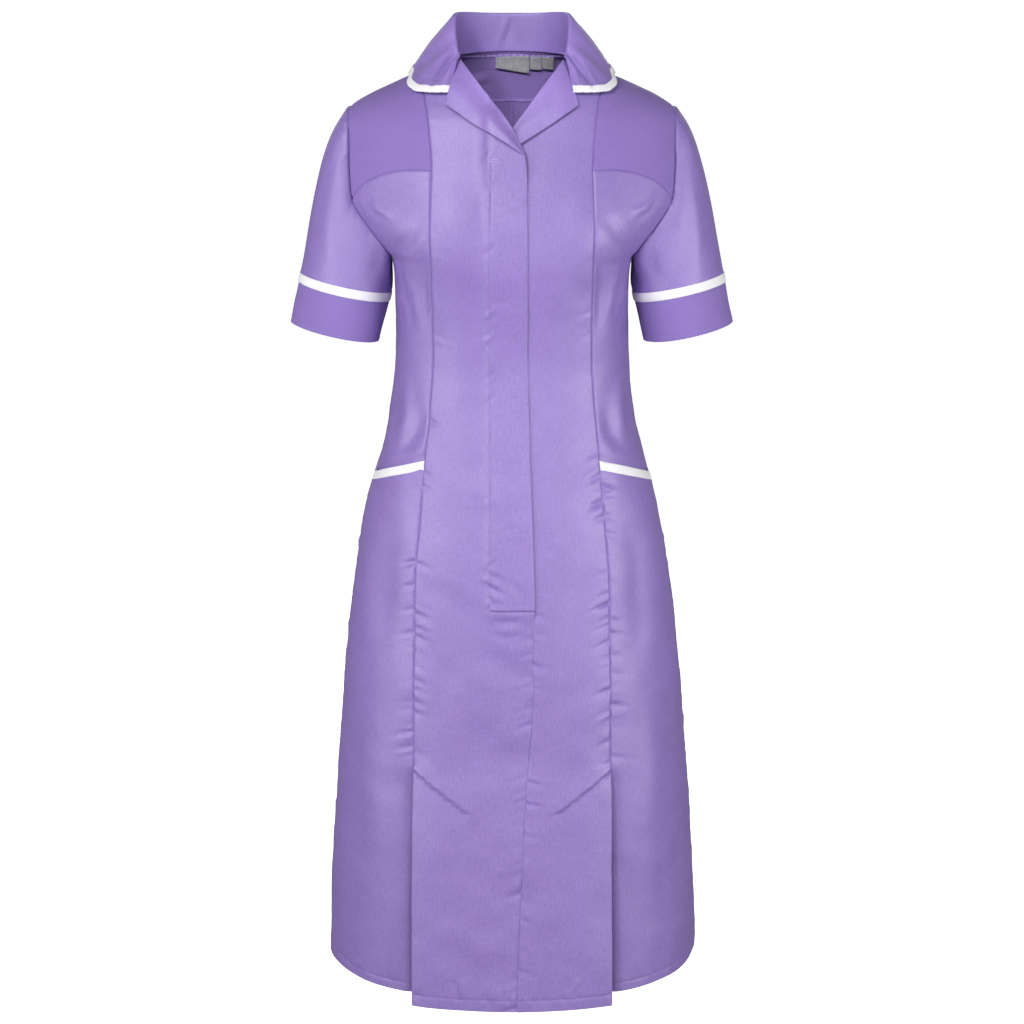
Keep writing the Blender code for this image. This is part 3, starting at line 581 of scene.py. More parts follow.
class Sheet:
    """A finished piece of cloth with the grid of its outer face, on which stitches are placed."""

    def __init__(self, piece, grid, normals, base=None):
        self.piece, self.grid, self.normals = piece, grid, normals
        self.base = grid if base is None else base
        self.distance = edge_distances(grid)

    def crossings(self, values, level, lines):
        """Where values that grow along each of these lines of the grid reach a level, with the normals."""
        found = []
        for line in lines:
            along_it = values[line]
            if along_it[0] < level < along_it[-1]:
                where = np.interp([level], along_it, np.arange(len(along_it)))
                found.append([interpolated(part[line], where)[0] for part in (self.grid, self.normals)])
        return [np.array(part) for part in zip(*found)]

    def line_up(self, values, level, low, high):
        """A path of one point for each row whose height lies between two others."""
        rows = [r for r, z in enumerate(self.base[:, 0, 2]) if low < z < high]
        return self.crossings(values, level, [np.s_[r] for r in rows])

    def line_over(self, values, level):
        """A path of one point for each column."""
        return self.crossings(values, level, [np.s_[:, c] for c in range(self.grid.shape[1])])


def sheet_of(node, grid, normals, finish, slot, *wall, **more):
    return Sheet(cloth(node, grid, normals, finish, slot, *wall, **more), grid, normals)


STITCH_SIDES = 5
STITCH_SHAPE = ((-0.5, 0.45, -0.5), (-0.3, 1, 0.55), (0.3, 1, 0.55), (0.5, 0.45, -0.5))  # place, size, lift


def stitches(name, paths, finish, slot, pitch=2.8, length=2.0, thick=0.24, seed=1):
    """A row of separate stitches along each path of (points, normals)."""
    rng = np.random.default_rng(seed)
    sides = np.radians(np.arange(STITCH_SIDES) * 360 / STITCH_SIDES)
    rings, corners = len(STITCH_SHAPE), STITCH_SIDES
    pattern = []
    for ring in range(rings - 1):
        for k in range(corners):
            a, b = ring * corners + k, ring * corners + (k + 1) % corners
            pattern.append((a, b, b + corners, a + corners))
    pattern.append(tuple(range(corners))[::-1])
    pattern.append(tuple(range((rings - 1) * corners, rings * corners)))
    points, faces = [], []
    for line, normals in paths:
        step = np.linalg.norm(np.diff(line, axis=0), axis=1)
        run = np.concatenate([[0], np.cumsum(step)])
        count = max(int(run[-1] / pitch), 1)
        middle = (np.arange(count) + 0.5) * run[-1] / count + rng.uniform(-0.12, 0.12, count)
        place = np.interp(middle, run, np.arange(len(line)))
        last = len(line) - 1.001
        ends = [interpolated(line, np.clip(place + d, 0, last)) for d in (-0.5, 0.5)]
        along_it = unit(ends[1] - ends[0] + 1e-6)
        centre, out = (interpolated(part, np.clip(place, 0, last)) for part in (line, normals))
        out = unit(out)
        aside = unit(np.cross(along_it, out))
        for k in range(count):
            tilt = rng.uniform(-0.06, 0.06)
            circle = np.cos(sides)[:, None] * aside[k] + np.sin(sides)[:, None] * out[k]
            base = len(points) * corners
            for at, size, lift in STITCH_SHAPE:
                ring_centre = centre[k] + (along_it[k] + aside[k] * tilt) * at * length
                points.append(ring_centre + out[k] * lift * thick + circle * thick * size)
            faces += [tuple(base + i for i in face) for face in pattern]
    return object_of(name, np.concatenate(points), faces, finish, slot)


# ---- materials


def material_of(name):
    made = bpy.data.materials.new(name)
    made.use_nodes = True
    return made


def add(tree, kind, inputs, output, **settings):
    """The output of a new node. Its inputs are values, or the outputs of other nodes."""
    node = tree.nodes.new(kind)
    for key, value in settings.items():
        setattr(node, key, value)
    for key, value in inputs.items():
        if isinstance(value, bpy.types.NodeSocket):
            tree.links.new(value, node.inputs[key])
        else:
            node.inputs[key].default_value = value
    return node.outputs[output]


BUMP_STRENGTH, BUMP_DEPTH = 0.45, 0.00018


def cloth_material(
    name, colour, deep, sheen=0.1, contrast=1.0, roughness=0.86, thread=0.00045, gloss=0.2
):
    """A plain weave: fine threads both ways, uneven streaks of them, and slow mottling of the dye."""
    made = material_of(name)
    tree = made.node_tree
    shader = tree.nodes["Principled BSDF"]
    weave = add(tree, "ShaderNodeAttribute", {}, "Vector", attribute_name="weave")

    def scaled(scale):
        return add(tree, "ShaderNodeMapping", {"Vector": weave, "Scale": scale}, "Vector")

    def noise(stretch, scale, detail):
        """Noise from about -1 to 1."""
        inputs = {"Vector": scaled(stretch), "Scale": scale, "Detail": detail}
        made_up = add(tree, "ShaderNodeTexNoise", inputs, "Fac", noise_dimensions="3D")
        inputs = {"Value": made_up, "From Min": 0.3, "From Max": 0.7, "To Min": -1, "To Max": 1}
        return add(tree, "ShaderNodeMapRange", inputs, "Result")

    def total(*parts):
        """The sum of (value, weight) parts."""
        parts = [add(tree, "ShaderNodeMath", {0: a, 1: b}, 0, operation="MULTIPLY") for a, b in parts]
        while len(parts) > 1:
            inputs = {0: parts.pop(0), 1: parts.pop(0)}
            parts.insert(0, add(tree, "ShaderNodeMath", inputs, 0, operation="ADD"))
        return parts[0]

    def plus(value, number):
        return add(tree, "ShaderNodeMath", {0: value, 1: number}, 0, operation="ADD")

    warp, weft = noise((800, 120, 1), 1, 1.5), noise((130, 800, 1), 1, 1.5)
    speck, mottle = noise((900, 900, 1), 1, 1), noise((1, 1, 1), 45, 3)
    streaks = total((warp, 0.6), (weft, 0.4))
    uneven = total((streaks, 0.85), (mottle, 0.24), (speck, 0.16))
    inputs = {"Factor": plus(total((uneven, 0.5 * contrast)), 0.5), "A": (*deep, 1), "B": (*colour, 1)}
    dye = add(tree, "ShaderNodeMix", inputs, "Result", data_type="RGBA", clamp_factor=True)
    tree.links.new(dye, shader.inputs["Base Color"])

    over_under = []
    for direction in ("X", "Y"):
        inputs = {
            "Vector": scaled((1, 1, 1)), "Scale": 1 / (thread * 20), "Distortion": 0.6, "Detail": 1
        }
        bands = {"wave_type": "BANDS", "bands_direction": direction, "wave_profile": "SIN"}
        over_under.append(add(tree, "ShaderNodeTexWave", inputs, "Fac", **bands))
    threads = total((plus(*over_under), 0.5))
    height = total((threads, 0.6), (streaks, 0.4))
    inputs = {"Strength": BUMP_STRENGTH, "Distance": BUMP_DEPTH, "Height": height}
    tree.links.new(add(tree, "ShaderNodeBump", inputs, "Normal"), shader.inputs["Normal"])
    tree.links.new(plus(total((threads, 0.08)), roughness - 0.04), shader.inputs["Roughness"])
    shader.inputs["Sheen Weight"].default_value = sheen
    shader.inputs["Sheen Roughness"].default_value = 0.45
    shader.inputs["Sheen Tint"].default_value = (*(0.5 + 0.5 * np.array(colour)), 1)
    shader.inputs["Specular IOR Level"].default_value = gloss
    return made


LILAC, LILAC_DEEP = (0.268, 0.178, 0.505), (0.196, 0.127, 0.395)
YOKE, YOKE_DEEP = (0.250, 0.170, 0.462), (0.216, 0.145, 0.412)
WHITE, WHITE_DEEP = (0.84, 0.835, 0.86), (0.76, 0.755, 0.79)
GREY, GREY_DEEP = (0.36, 0.355, 0.38), (0.24, 0.235, 0.255)
THREAD, THREAD_DEEP = (0.31, 0.23, 0.54), (0.26, 0.185, 0.47)
PALE_THREAD, PALE_THREAD_DEEP = (0.50, 0.42, 0.72), (0.42, 0.34, 0.64)
WHITE_THREAD, WHITE_THREAD_DEEP = (0.86, 0.85, 0.9), (0.76, 0.75, 0.8)
lilac = cloth_material("lilac_polycotton", LILAC, LILAC_DEEP, 0.03, roughness=0.52, gloss=0.95)
deep_lilac = cloth_material("deep_lilac_polycotton", YOKE, YOKE_DEEP, contrast=0.7, gloss=0.12)
white = cloth_material("white_binding", WHITE, WHITE_DEEP, 0.1, 0.7, 0.8, 0.0007)
grey = cloth_material("blank_label", GREY, GREY_DEEP, 0.05, 1.8, 0.7, 0.0009)
thread = cloth_material("lilac_thread", THREAD, THREAD_DEEP, contrast=0.3, roughness=0.6)
pale_thread = cloth_material("pale_lilac_thread", PALE_THREAD, PALE_THREAD_DEEP, contrast=0.3)
white_thread = cloth_material("white_thread", WHITE_THREAD, WHITE_THREAD_DEEP, contrast=0.3)


# ---- panels of the body


def rows_for(inner, outer, step, marks=()):
    """Fractional indices of rows along two lists of heights, about one step apart."""
    length = np.concatenate([[0], np.cumsum(np.maximum(np.abs(np.diff(inner)), np.abs(np.diff(outer))))])
    at = spread(length[-1], step, marks=marks) * length[-1]
    return np.interp(at, length, np.arange(len(length)))


def ruled(rails, shares):
    """Angles and heights between rails of (angles, heights).

    A share from 0 to 1 lies between the first two rails, and one from 1 to 2 between the next two.
    """
    rails = [np.stack(rail, -1)[:, None] for rail in rails]
    whole = np.clip(np.floor(shares).astype(int), 0, len(rails) - 2)
    between = (shares - whole)[None, :, None]
    low = np.concatenate([rails[w] for w in whole], axis=1)
    high = np.concatenate([rails[w + 1] for w in whole], axis=1)
    places = low * (1 - between) + high * between
    return places[..., 0], places[..., 1]


ALWAYS = (-1200, 100)  # heights that take in the whole dress
ALL_SEWN = {edge: ALWAYS for edge in ("first", "last", "top", "bottom")}


def mirrored_names(names):
    swap = {"first": "last", "last": "first"}
    if isinstance(names, dict):
        return {swap.get(edge, edge): value for edge, value in names.items()}
    return [swap.get(edge, edge) for edge in names]


def panel(
    node, places, finish, slot, mirror, seams,
    lift=None, wall=CLOTH, free=(), seed=0, pucker=0.55, flat=(), hem=0,
):
    """A panel of the form. seams maps an edge to the (low, high) heights between which it is sewn.

    The seams of flat edges are pressed to the sleeve's side, so they hardly sink. hem is the height of
    its stitches, and pucker is how far the cloth gathers beside the seams.
    """
    angle, height = places
    pucker = {edge: pucker for edge in seams} if np.isscalar(pucker) else pucker
    if mirror:
        angle, height = -angle[:, ::-1], height[:, ::-1]
        pucker, seams, free, flat = map(mirrored_names, (pucker, seams, free, flat))
        wall = wall if np.isscalar(wall) else wall[:, ::-1]
    base, normals = form(angle, height), outward(angle, height)
    offset = relief(base, angle, height)
    if lift is not None:
        offset = offset + lift(base[..., 0] * (-1 if mirror else 1), base[..., 2])
    distances = edge_distances(base)
    nearest = np.full(offset.shape, 1e3)
    gathered = 0.25 + 0.75 * smooth_step(-height, 300, 420)
    for k, (edge, (low, high)) in enumerate(sorted(seams.items())):
        distance = distances[edge]
        inside = smooth_step(height, low - 3, low + 3) * (1 - smooth_step(height, high - 3, high + 3))
        if edge in flat:
            offset = offset + seam_roll(distance, 0.25)
            continue
        reached = np.where(inside > 0.02, distance / np.maximum(inside, 0.02), 1e3)
        nearest = np.minimum(nearest, reached)
        run = height if edge in ("first", "last") else base[..., 0] * 1.2
        offset = offset + inside * gathered * seam_pucker(distance, run, seed + 7 * k, pucker[edge])
    offset = offset + seam_roll(nearest)
    for edge in free:
        offset = offset - 0.3 * bell(distances[edge], 1.0)
    if hem:
        up, run = distances["bottom"], base[..., 0] + 0.6 * base[..., 1]
        waves = 0.55 * ripple(run + 0.5 * up, 21, seed + 31) + 0.3 * ripple(run - 0.4 * up, 9, seed + 33)
        offset = offset - 0.35 * bell(up - hem, 1.2)
        offset = offset + bell(up - hem, 7) * waves
    grid = pulled_in(base + normals * offset[..., None], ("bottom", "top", "first", "last"))
    reaches_back = np.abs(angle).max() > SIDE
    across = half_width(-340) * np.radians(angle) if reaches_back else base[..., 0]
    piece = cloth(node, grid, normals, finish, slot, wall, grain=0.37 * seed, threads=(across, height))
    return Sheet(piece, grid, normals, base)


def right_lift(x, z):
    """The overlapping front rises over the other one, and more where it crosses the lapels."""
    over = smooth_step(x, PLACKET_STITCH + 9, PLACKET_STITCH + 1)
    over = over * smooth_step(z, PLACKET_END - 20, PLACKET_END)
    crossing = smooth_step(z, -140, -104) * (1 - smooth_step(z, -66, -40)) * smooth_step(x, 42, 18)
    in_placket = smooth_step(z, PLACKET_END - 4, PLACKET_END)
    groove = -0.9 * bell(x - PLACKET_STITCH, 0.9) * in_placket * (1 - smooth_step(z, -112, -100))
    across = smooth_step(x, PLACKET_STITCH + 1.5, PLACKET_STITCH - 1)
    bar = 0.9 * bell(z - PLACKET_END - 2.2, 1.8) - 1.7 * bell(z - PLACKET_END + 0.5, 1.0)
    bar = bar * across * (1 + 0.4 * ripple(x, 9, 23))
    pulled = bell(np.abs(x - PLACKET_STITCH) - 2.5, 3) * ripple(z + 0.8 * x, 15, 21) * in_placket
    waved = smooth_step(x, 6, -16) * in_placket * ripple(z, 74, 25) * (1 - smooth_step(z, -150, -110))
    hump = 1.9 * bell(x - 11, 9) * in_placket * (1 - smooth_step(z, -520, -400))
    edge_up = 1.0 * smooth_step(x, -8, -18) * in_placket * (1 - smooth_step(z, -480, -380))
    lifted = centre_stands(z) + PLACKET_LIFT * over + CROSSING_LIFT * crossing
    return lifted + groove + bar + 0.8 * pulled + 0.6 * waved + hump + edge_up


def left_lift(x, z):
    return centre_stands(z) + 0 * x


SKIRT_TOP = -115


def rail_on_front(distance, height):
    return np.array(on_front(distance, height)), np.array(height, float)


# Rows are close together at the hem's stitches, where stitches hold the pleat, and at the placket's end.
HEM_STITCH, CENTRE_HEM_STITCH = 10, 13
PLEAT_MARKS = (z - CENTRE_HEM for z in range(-828, -770, 6))
CENTRE_MARKS = [CENTRE_HEM_STITCH, *PLEAT_MARKS, PLACKET_END - CENTRE_HEM]


def centre_front(node, edge, lift, mirror, seed):
    """edge gives the distance of the front edge from the middle, on the side that the panel covers."""
    tall = SKIRT_TOP - CENTRE_HEM
    low = spread(tall, 3, fine_last=False, marks=CENTRE_MARKS) * tall + CENTRE_HEM
    start = (edge(SKIRT_TOP), SKIRT_TOP)
    shoulder = (half_width(NECK_SIDE_HEIGHT), NECK_SIDE_HEIGHT)
    high = np.concatenate([np.linspace(0, 6, 42)[1:-1], [5.955, 5.985, 6.0]])
    inner_high = track((start, *ROLL, shoulder))(high)
    outer_z = on_index([*YOKE_ROWS, SHOULDER_SEAM_HEIGHT])(high)
    reach = smooth_step(high, 5, 6)
    outer_x = princess(outer_z) * (1 - reach) + reach * half_width(outer_z)
    inner = rail_on_front(np.append(edge(low), inner_high[:, 0]), np.append(low, inner_high[:, 1]))
    outer = rail_on_front(np.append(princess(low), outer_x), np.append(low, outer_z))
    count = len(low)
    middle_low = on_front(PLACKET_STITCH + 0 * low, low)
    share = (middle_low[-1] - inner[0][count - 1]) / (outer[0][count - 1] - inner[0][count - 1])
    middle_high, middle_z = (a[count:] * (1 - share) + b[count:] * share for a, b in zip(inner, outer))
    middle = np.append(middle_low, middle_high), np.append(low, middle_z)
    shares = np.concatenate([spread(42, 3.2), 1 + spread(66, 3.2)[1:]])
    places = ruled([inner, middle, outer], shares)
    x = form(*places)[..., 0]
    facing = smooth_step(x, PLACKET_STITCH + 1, PLACKET_STITCH - 1) * smooth_step(places[1], -594, -590)
    fold = smooth_step(-places[1], -CENTRE_HEM - 14, -CENTRE_HEM - 12)
    wall = CLOTH + 0.6 * facing * (1 if mirror else 0.4) + 0.7 * fold
    seams = {"first": (-1200, PLACKET_END), "last": (-772, 0), "top": ALWAYS}
    pucker = {"first": 0.8, "last": 2.0, "top": 0.4}
    free = ("first", "last")
    return panel(
        node, places, lilac, "cloth", mirror, seams, lift, wall, free, seed, pucker, hem=CENTRE_HEM_STITCH
    )


def underlap_edge(z):
    """The left front meets the seam low down. Above the placket's end it runs on behind the right front."""
    return front_edge(z) + smooth_step(z, PLACKET_END, PLACKET_END + 30) * (-UNDERLAP - front_edge(z))


def bow_of(shares, rows, amount):
    return amount * np.clip(1 - rows / 3, 0, 1)[:, None] ** 1.5 * 4 * shares * (1 - shares)


def front_yoke(node, mirror, seed):
    rows = np.linspace(0, 6, 46)
    inner_z = on_index([*YOKE_ROWS, SHOULDER_SEAM_HEIGHT])(rows)
    reach = smooth_step(rows, 5, 6)
    inner = rail_on_front(princess(inner_z) * (1 - reach) + reach * half_width(inner_z), inner_z)
    outer = armhole(FRONT_SEAM - rows)
    shares = spread(75, 2.8)
    angle, height = ruled([inner, (outer[:, 0], outer[:, 1])], shares)
    height = height + bow_of(shares, rows, YOKE_BOW)
    places = angle, height
    return panel(
        node, places, deep_lilac, "yoke_cloth", mirror, ALL_SEWN, seed=seed, pucker=0.35, flat=("last",)
    )


BUST_ROWS = (-115, -130, -146, -162, -178, -194, -210)
SIDE_ROWS = (-240, -280, -320, -360, -400)
BAG_DROPS = (-16, 0, 30, 75, 120)


def side_front(node, mirror, seed):
    inner_z = [*BUST_ROWS, *SIDE_ROWS, *(POCKET_IN - drop for drop in BAG_DROPS)]
    outer_z = [ARMHOLE[k][1] for k in range(FRONT_SEAM, BOTTOM + 1)]
    outer_z += [*SIDE_ROWS, *(POCKET_OUT - drop for drop in BAG_DROPS)]
    rows = rows_for(inner_z, outer_z, 3)
    heights = on_index(inner_z)(rows)
    inner = rail_on_front(princess(heights), heights)
    at_armhole = armhole(FRONT_SEAM + np.clip(rows, 0, BOTTOM - FRONT_SEAM))
    below = rows > BOTTOM - FRONT_SEAM
    outer_angle = np.where(below, SIDE, at_armhole[:, 0])
    outer = outer_angle, np.where(below, on_index(outer_z)(rows), at_armhole[:, 1])
    shares = spread(85, 2.8)
    angle, height = ruled([inner, outer], shares)
    height = height + bow_of(shares, rows, YOKE_BOW)
    behind_band = (BAG_BEHIND * smooth_step(rows, 12.1, 13.0))[::-1, None]
    seams = {"first": (POCKET_IN, 0), "last": (POCKET_OUT, -218), "top": ALWAYS}
    places = angle[::-1], height[::-1]
    lift = lambda x, z: -behind_band + 0 * x
    return panel(node, places, lilac, "cloth", mirror, seams, lift, seed=seed)


def side_lift(x, z):
    from_seam = np.abs(x) - princess(z)
    reach = np.clip(1 - from_seam / TUCK_REACH, 0, 1) ** 2
    return -side_tucks(z) * (reach + TUCK_STEEP * bell(from_seam, 7))


def skirt_side(node, mirror, seed):
    inner_z, outer_z = (PLEAT_HEM, -1000, -490, POCKET_IN), (SIDE_HEM, -1000, -490, POCKET_OUT)
    rows = rows_for(inner_z, outer_z, 3, marks=(HEM_STITCH,))
    heights = np.interp(rows, range(4), inner_z)
    inner = rail_on_front(princess(heights), heights)
    outer = np.full(len(rows), SIDE), np.interp(rows, range(4), outer_z)
    places = ruled([inner, outer], spread(150, 3.2))
    wall = CLOTH + 0.7 * (1 - smooth_step(places[1], SIDE_HEM + 7, SIDE_HEM + 10))
    seams = {"first": (-772, POCKET_IN), "last": (-1200, POCKET_OUT)}
    return panel(
        node, places, lilac, "cloth", mirror, seams, side_lift, wall, ("first",), seed, 1.6, hem=HEM_STITCH
    )


def back_half(node, mirror, seed):
    low_outer, low_inner = (SIDE_HEM, -1000, -240), (BACK_HEM, -1000, -240)
    stations = BACK_SEAM - BOTTOM
    arm = armhole(np.linspace(BOTTOM, BACK_SEAM, stations + 1))
    climb = np.linspace(-208, BACK_YOKE_HEIGHT, stations + 1)
    outer_z, inner_z = [*low_outer, *arm[:, 1]], [*low_inner, *climb]
    rows = rows_for(inner_z, outer_z, 3.6, marks=(HEM_STITCH,))
    count = len(low_outer)
    at_armhole = armhole(BOTTOM + np.clip(rows - count, 0, stations))
    outer = (
        np.where(rows >= count, at_armhole[:, 0], SIDE),
        np.where(rows >= count, at_armhole[:, 1], np.interp(rows, range(len(outer_z)), outer_z)),
    )
    inner = np.full(len(rows), BACK), np.interp(rows, range(len(inner_z)), inner_z)
    shares = spread(230, 4)
    angle, height = ruled([outer, inner], shares)
    rise = smooth_step(rows, count, len(outer_z) - 1)[:, None]
    height = height + rise * BACK_YOKE_BOW * 4 * shares * (1 - shares)
    wall = CLOTH + 0.7 * (1 - smooth_step(height, SIDE_HEM + 6, SIDE_HEM + 9))
    seams = {"first": (-1200, 0), "last": (-1200, 0), "top": ALWAYS}
    places = angle, height
    return panel(
        node, places, lilac, "cloth", mirror, seams, back_lift, wall, (), seed, 0.8, hem=HEM_STITCH
    )


def back_lift(x, z):
    """The pressed edges of the box pleat below the back yoke."""
    edge = bell(np.abs(x) - 9, 1.3) - 0.6 * bell(np.abs(x) - 11.5, 1.6)
    return smooth_step(z, -215, -120) * (0.9 * edge + 0.5 * smooth_step(np.abs(x), 9.5, 8))


def back_seam(share):
    angle, height = ARMHOLE[BACK_SEAM]
    bow = BACK_YOKE_BOW * 4 * share * (1 - share)
    rise = BACK_YOKE_HEIGHT + (height - BACK_YOKE_HEIGHT) * share + bow
    return np.stack([BACK + (angle - BACK) * share, rise], -1)


def back_yoke(node):
    """One piece from armhole to armhole, blended between its four edges."""
    corner = 6 / 14  # the share of the half at which the neck ends and the shoulder starts
    shares = np.concatenate([spread(100, 2.8) * corner, corner + spread(130, 2.8) * (1 - corner)])
    shares, rise = np.unique(shares), spread(75, 2.8)
    neck, shoulder = np.clip(shares / corner, 0, 1), np.clip((shares - corner) / (1 - corner), 0, 1)
    slope = NECK_SIDE_HEIGHT + (ARMHOLE[0][1] - NECK_SIDE_HEIGHT) * shoulder
    top_height = np.where(shares < corner, NECK_SIDE_HEIGHT * neck**2, slope)
    top = np.stack([BACK + (SIDE - BACK) * neck, top_height], -1)[None]
    bottom = back_seam(shares)[None]
    last = armhole(BACK_SEAM + 4 * rise)[:, None]
    u, v = shares[None, :, None], rise[:, None, None]
    first = bottom[:, :1] * (1 - v) + top[:, :1] * v
    blended = (1 - v) * bottom + v * top + (1 - u) * first + u * last
    low_corners = (1 - u) * bottom[:, :1] + u * bottom[:, -1:]
    high_corners = (1 - u) * top[:, :1] + u * top[:, -1:]
    half = blended - ((1 - v) * low_corners + v * high_corners)
    angle = np.concatenate([half[:, ::-1, 0], 2 * BACK - half[:, 1:, 0]], axis=1)
    height = np.concatenate([half[:, ::-1, 1], half[:, 1:, 1]], axis=1)
    places, flat = (angle, height), ("first", "last")
    return panel(
        node, places, deep_lilac, "yoke_cloth", False, ALL_SEWN, seed=91, pucker=0.35, flat=flat
    )


STRIP, STRIP_CLEAR = TAPE * 0.6, 0.08  # the wall of a folded strip, and its distance from the cloth
LEG_ROWS = 7  # rows on the outer leg of a folded strip


def wrapped(grid, normals, wall, outer_leg, inner_leg):
    """A strip folded over the first row of a wall, one leg on the grid's face and one behind.

    Gives the strip's outer face and its normals, with rows from the inner leg's end to the outer one's.
    """
    run = np.cumsum(np.linalg.norm(np.diff(grid, axis=0), axis=-1), axis=0)
    run = np.concatenate([np.zeros((1, grid.shape[1])), run])
    past_edge = unit(grid[0] - grid[1])

    def at(distance):
        points, faces = [], []
        for c in range(grid.shape[1]):
            where = np.interp([distance], run[:, c], np.arange(len(grid)))
            points.append(interpolated(grid[:, c], where)[0])
            faces.append(unit(interpolated(normals[:, c], where)[0]))
        return np.array(points), np.array(faces)

    rows, facing = [], []
    for distance in np.linspace(inner_leg, 0, 4):
        place, out = at(distance)
        rows.append(place - out * (wall + STRIP_CLEAR + STRIP))
        facing.append(-out)
    place, out = at(0)
    middle = place - out * wall / 2
    radius = wall / 2 + STRIP_CLEAR + STRIP
    for turn in np.radians((-60, -30, 0, 30, 60)):
        direction = out * math.sin(turn) + past_edge * math.cos(turn)
        rows.append(middle + direction * radius)
        facing.append(direction)
    for distance in np.linspace(0, outer_leg, LEG_ROWS):
        place, out = at(distance)
        rows.append(place + out * (STRIP_CLEAR + STRIP))
        facing.append(out)
    return np.array(rows), np.array(facing)


def swelling(rows, amount):
    """How far the outer leg of a folded strip swells between its edges."""
    swell = np.zeros(len(rows))
    swell[-LEG_ROWS:] = amount * np.sin(np.pi * np.linspace(0, 1, LEG_ROWS))
    return swell[:, None]


def pocket_trim(node, skirt, seed):
    """The white band folded over the pocket's mouth."""
    rows, facing = wrapped(skirt.grid[::-1], skirt.normals[::-1], CLOTH, POCKET_BAND, 6)
    swell = swelling(rows, 0.35)
    rows = rows + facing * (swell + ripple(rows[..., 0], 11, seed) * swell * 0.5)[..., None]
    rows, facing = rows[::-1], facing[::-1]
    grid = pulled_in(rows, ("first", "last"), 0.1)
    piece = cloth(node, grid, facing, white, "white_trim", STRIP, grain=0.1 * seed)
    return Sheet(piece, rows, facing)


def kick_pleat(node, mirror, seed):
    """A strip that runs in behind the centre panel, turns, and runs out again behind the side panel."""
    shares = np.linspace(0, 1, 12)
    turn, sign = len(shares), -1 if mirror else 1
    rows = []
    for z in np.arange(PLEAT_HEM + 2, -808, 6.0):
        upper = smooth_step(z, -870, -808)
        out = princess(z) - 1.2
        near = centre_stands(z) - CLOTH - 1.0
        far = -side_tucks(z) * (1 + TUCK_STEEP) - 0.3
        line = []
        for leg, lift in ((shares, near), (shares[::-1], far - 0.9)):
            for s in leg:
                height = z - 34 * s * upper
                angle = on_front(out - PLEAT_DEPTH * s, height)
                line.append(form(angle, height) + outward(angle, height) * lift)
        for beyond, deeper in ((2, 2.4), (6, 3.2)):
            angle = on_front(out + beyond, z)
            lift = far - deeper + relief(form(angle * sign, z), angle * sign, z)
            line.append(form(angle, z) + outward(angle, z) * lift)
        fold = (line[turn - 1] + line[turn]) / 2 - np.array((2.2, 0, 0))
        rows.append(line[:turn] + [fold] + line[turn:])
    grid = np.array(rows)
    normals = grid_normals(grid)
    grid, normals = grid[:, ::-1], -normals[:, ::-1]
    if mirror:
        grid, normals = grid[:, ::-1] * (-1, 1, 1), normals[:, ::-1] * (-1, 1, 1)
    return sheet_of(node, grid, normals, lilac, "cloth", grain=0.3 * seed)


# ---- sleeves, cuffs and their tapes


def sleeve_axes():
    """Unit vectors down the sleeve, across it towards the outside, and across it towards the front."""
    lean, forward = math.radians(SLEEVE_LEAN), math.radians(SLEEVE_FORWARD)
    down = unit(np.array((math.sin(lean), -math.sin(forward), -math.cos(lean))))
    out = unit(np.cross(down, (0, -1, 0)))
    out = out if out[0] > 0 else -out
    ahead = np.cross(out, down)
    return down, out, ahead if ahead[1] < 0 else -ahead


def tube(turn, distance):
    """Points of the sleeve's tube. A turn is in degrees from its outer line, by way of the front."""
    down, out, ahead = sleeve_axes()
    turn, distance = np.broadcast_arrays(np.radians(turn), np.asarray(distance, float))
    wide = (sleeve_wide(distance) * np.cos(turn))[..., None]
    deep = (sleeve_deep(distance) * np.sin(turn))[..., None]
    return TAPE_MIDDLE + distance[..., None] * down + wide * out + deep * ahead


def armhole_turns(stations):
    """The turn of the sleeve's tube that faces each station, spaced by length along each half."""
    fine = np.linspace(0, len(ARMHOLE), 481)
    points = form(*armhole(fine).T)
    run = np.concatenate([[0], np.cumsum(np.linalg.norm(np.diff(points, axis=0), axis=1))])
    half = np.interp(BOTTOM, fine, run)
    here = np.interp(np.mod(stations, len(ARMHOLE)), fine, run)
    return np.where(here <= half, 180 * here / half, 180 + 180 * (here - half) / (run[-1] - half))


SLEEVE_CREASES = [
    # line of (turn, share of the way down), width, depth. The right sleeve has them turned and shallower.
    (((62, 0.35), (74, 0.62), (84, 0.95)), 8, -1.5),
    (((100, 0.25), (104, 0.6), (108, 0.97)), 7, 1.2),
    (((122, 0.12), (124, 0.45), (120, 0.9)), 7, -1.9),
    (((28, 0.3), (34, 0.6), (36, 0.9)), 12, -0.9),
    (((150, 0.1), (146, 0.5), (142, 0.85)), 6, 1.4),
    (((212, 0.1), (216, 0.5), (222, 0.9)), 7, -1.8),
    (((236, 0.2), (240, 0.6), (246, 0.95)), 8, 1.2),
    (((262, 0.3), (266, 0.65), (272, 0.96)), 9, -1.5),
    (((300, 0.3), (306, 0.6), (310, 0.92)), 11, 1.0),
    (((338, 0.35), (342, 0.65), (345, 0.95)), 12, -0.9),
]


def sleeve_start(stations, mirror):
    turns = armhole_turns(stations)
    places = armhole(stations)
    sign = -1 if mirror else 1
    start = form(*places.T)
    c, s = np.cos(np.radians(turns)), np.sin(np.radians(turns))
    leave = unit(np.stack([0.5 + 0.32 * c, -0.45 * s, -(0.8 - 0.2 * c)], axis=-1))
    off = outward(*places.T)
    real = form(places[:, 0] * sign, places[:, 1])
    shift = relief(real, places[:, 0] * sign, places[:, 1])
    return start + leave * 0.15 + off * (0.05 + 0.2 * (1 - c) / 2 + shift)[:, None], leave, turns


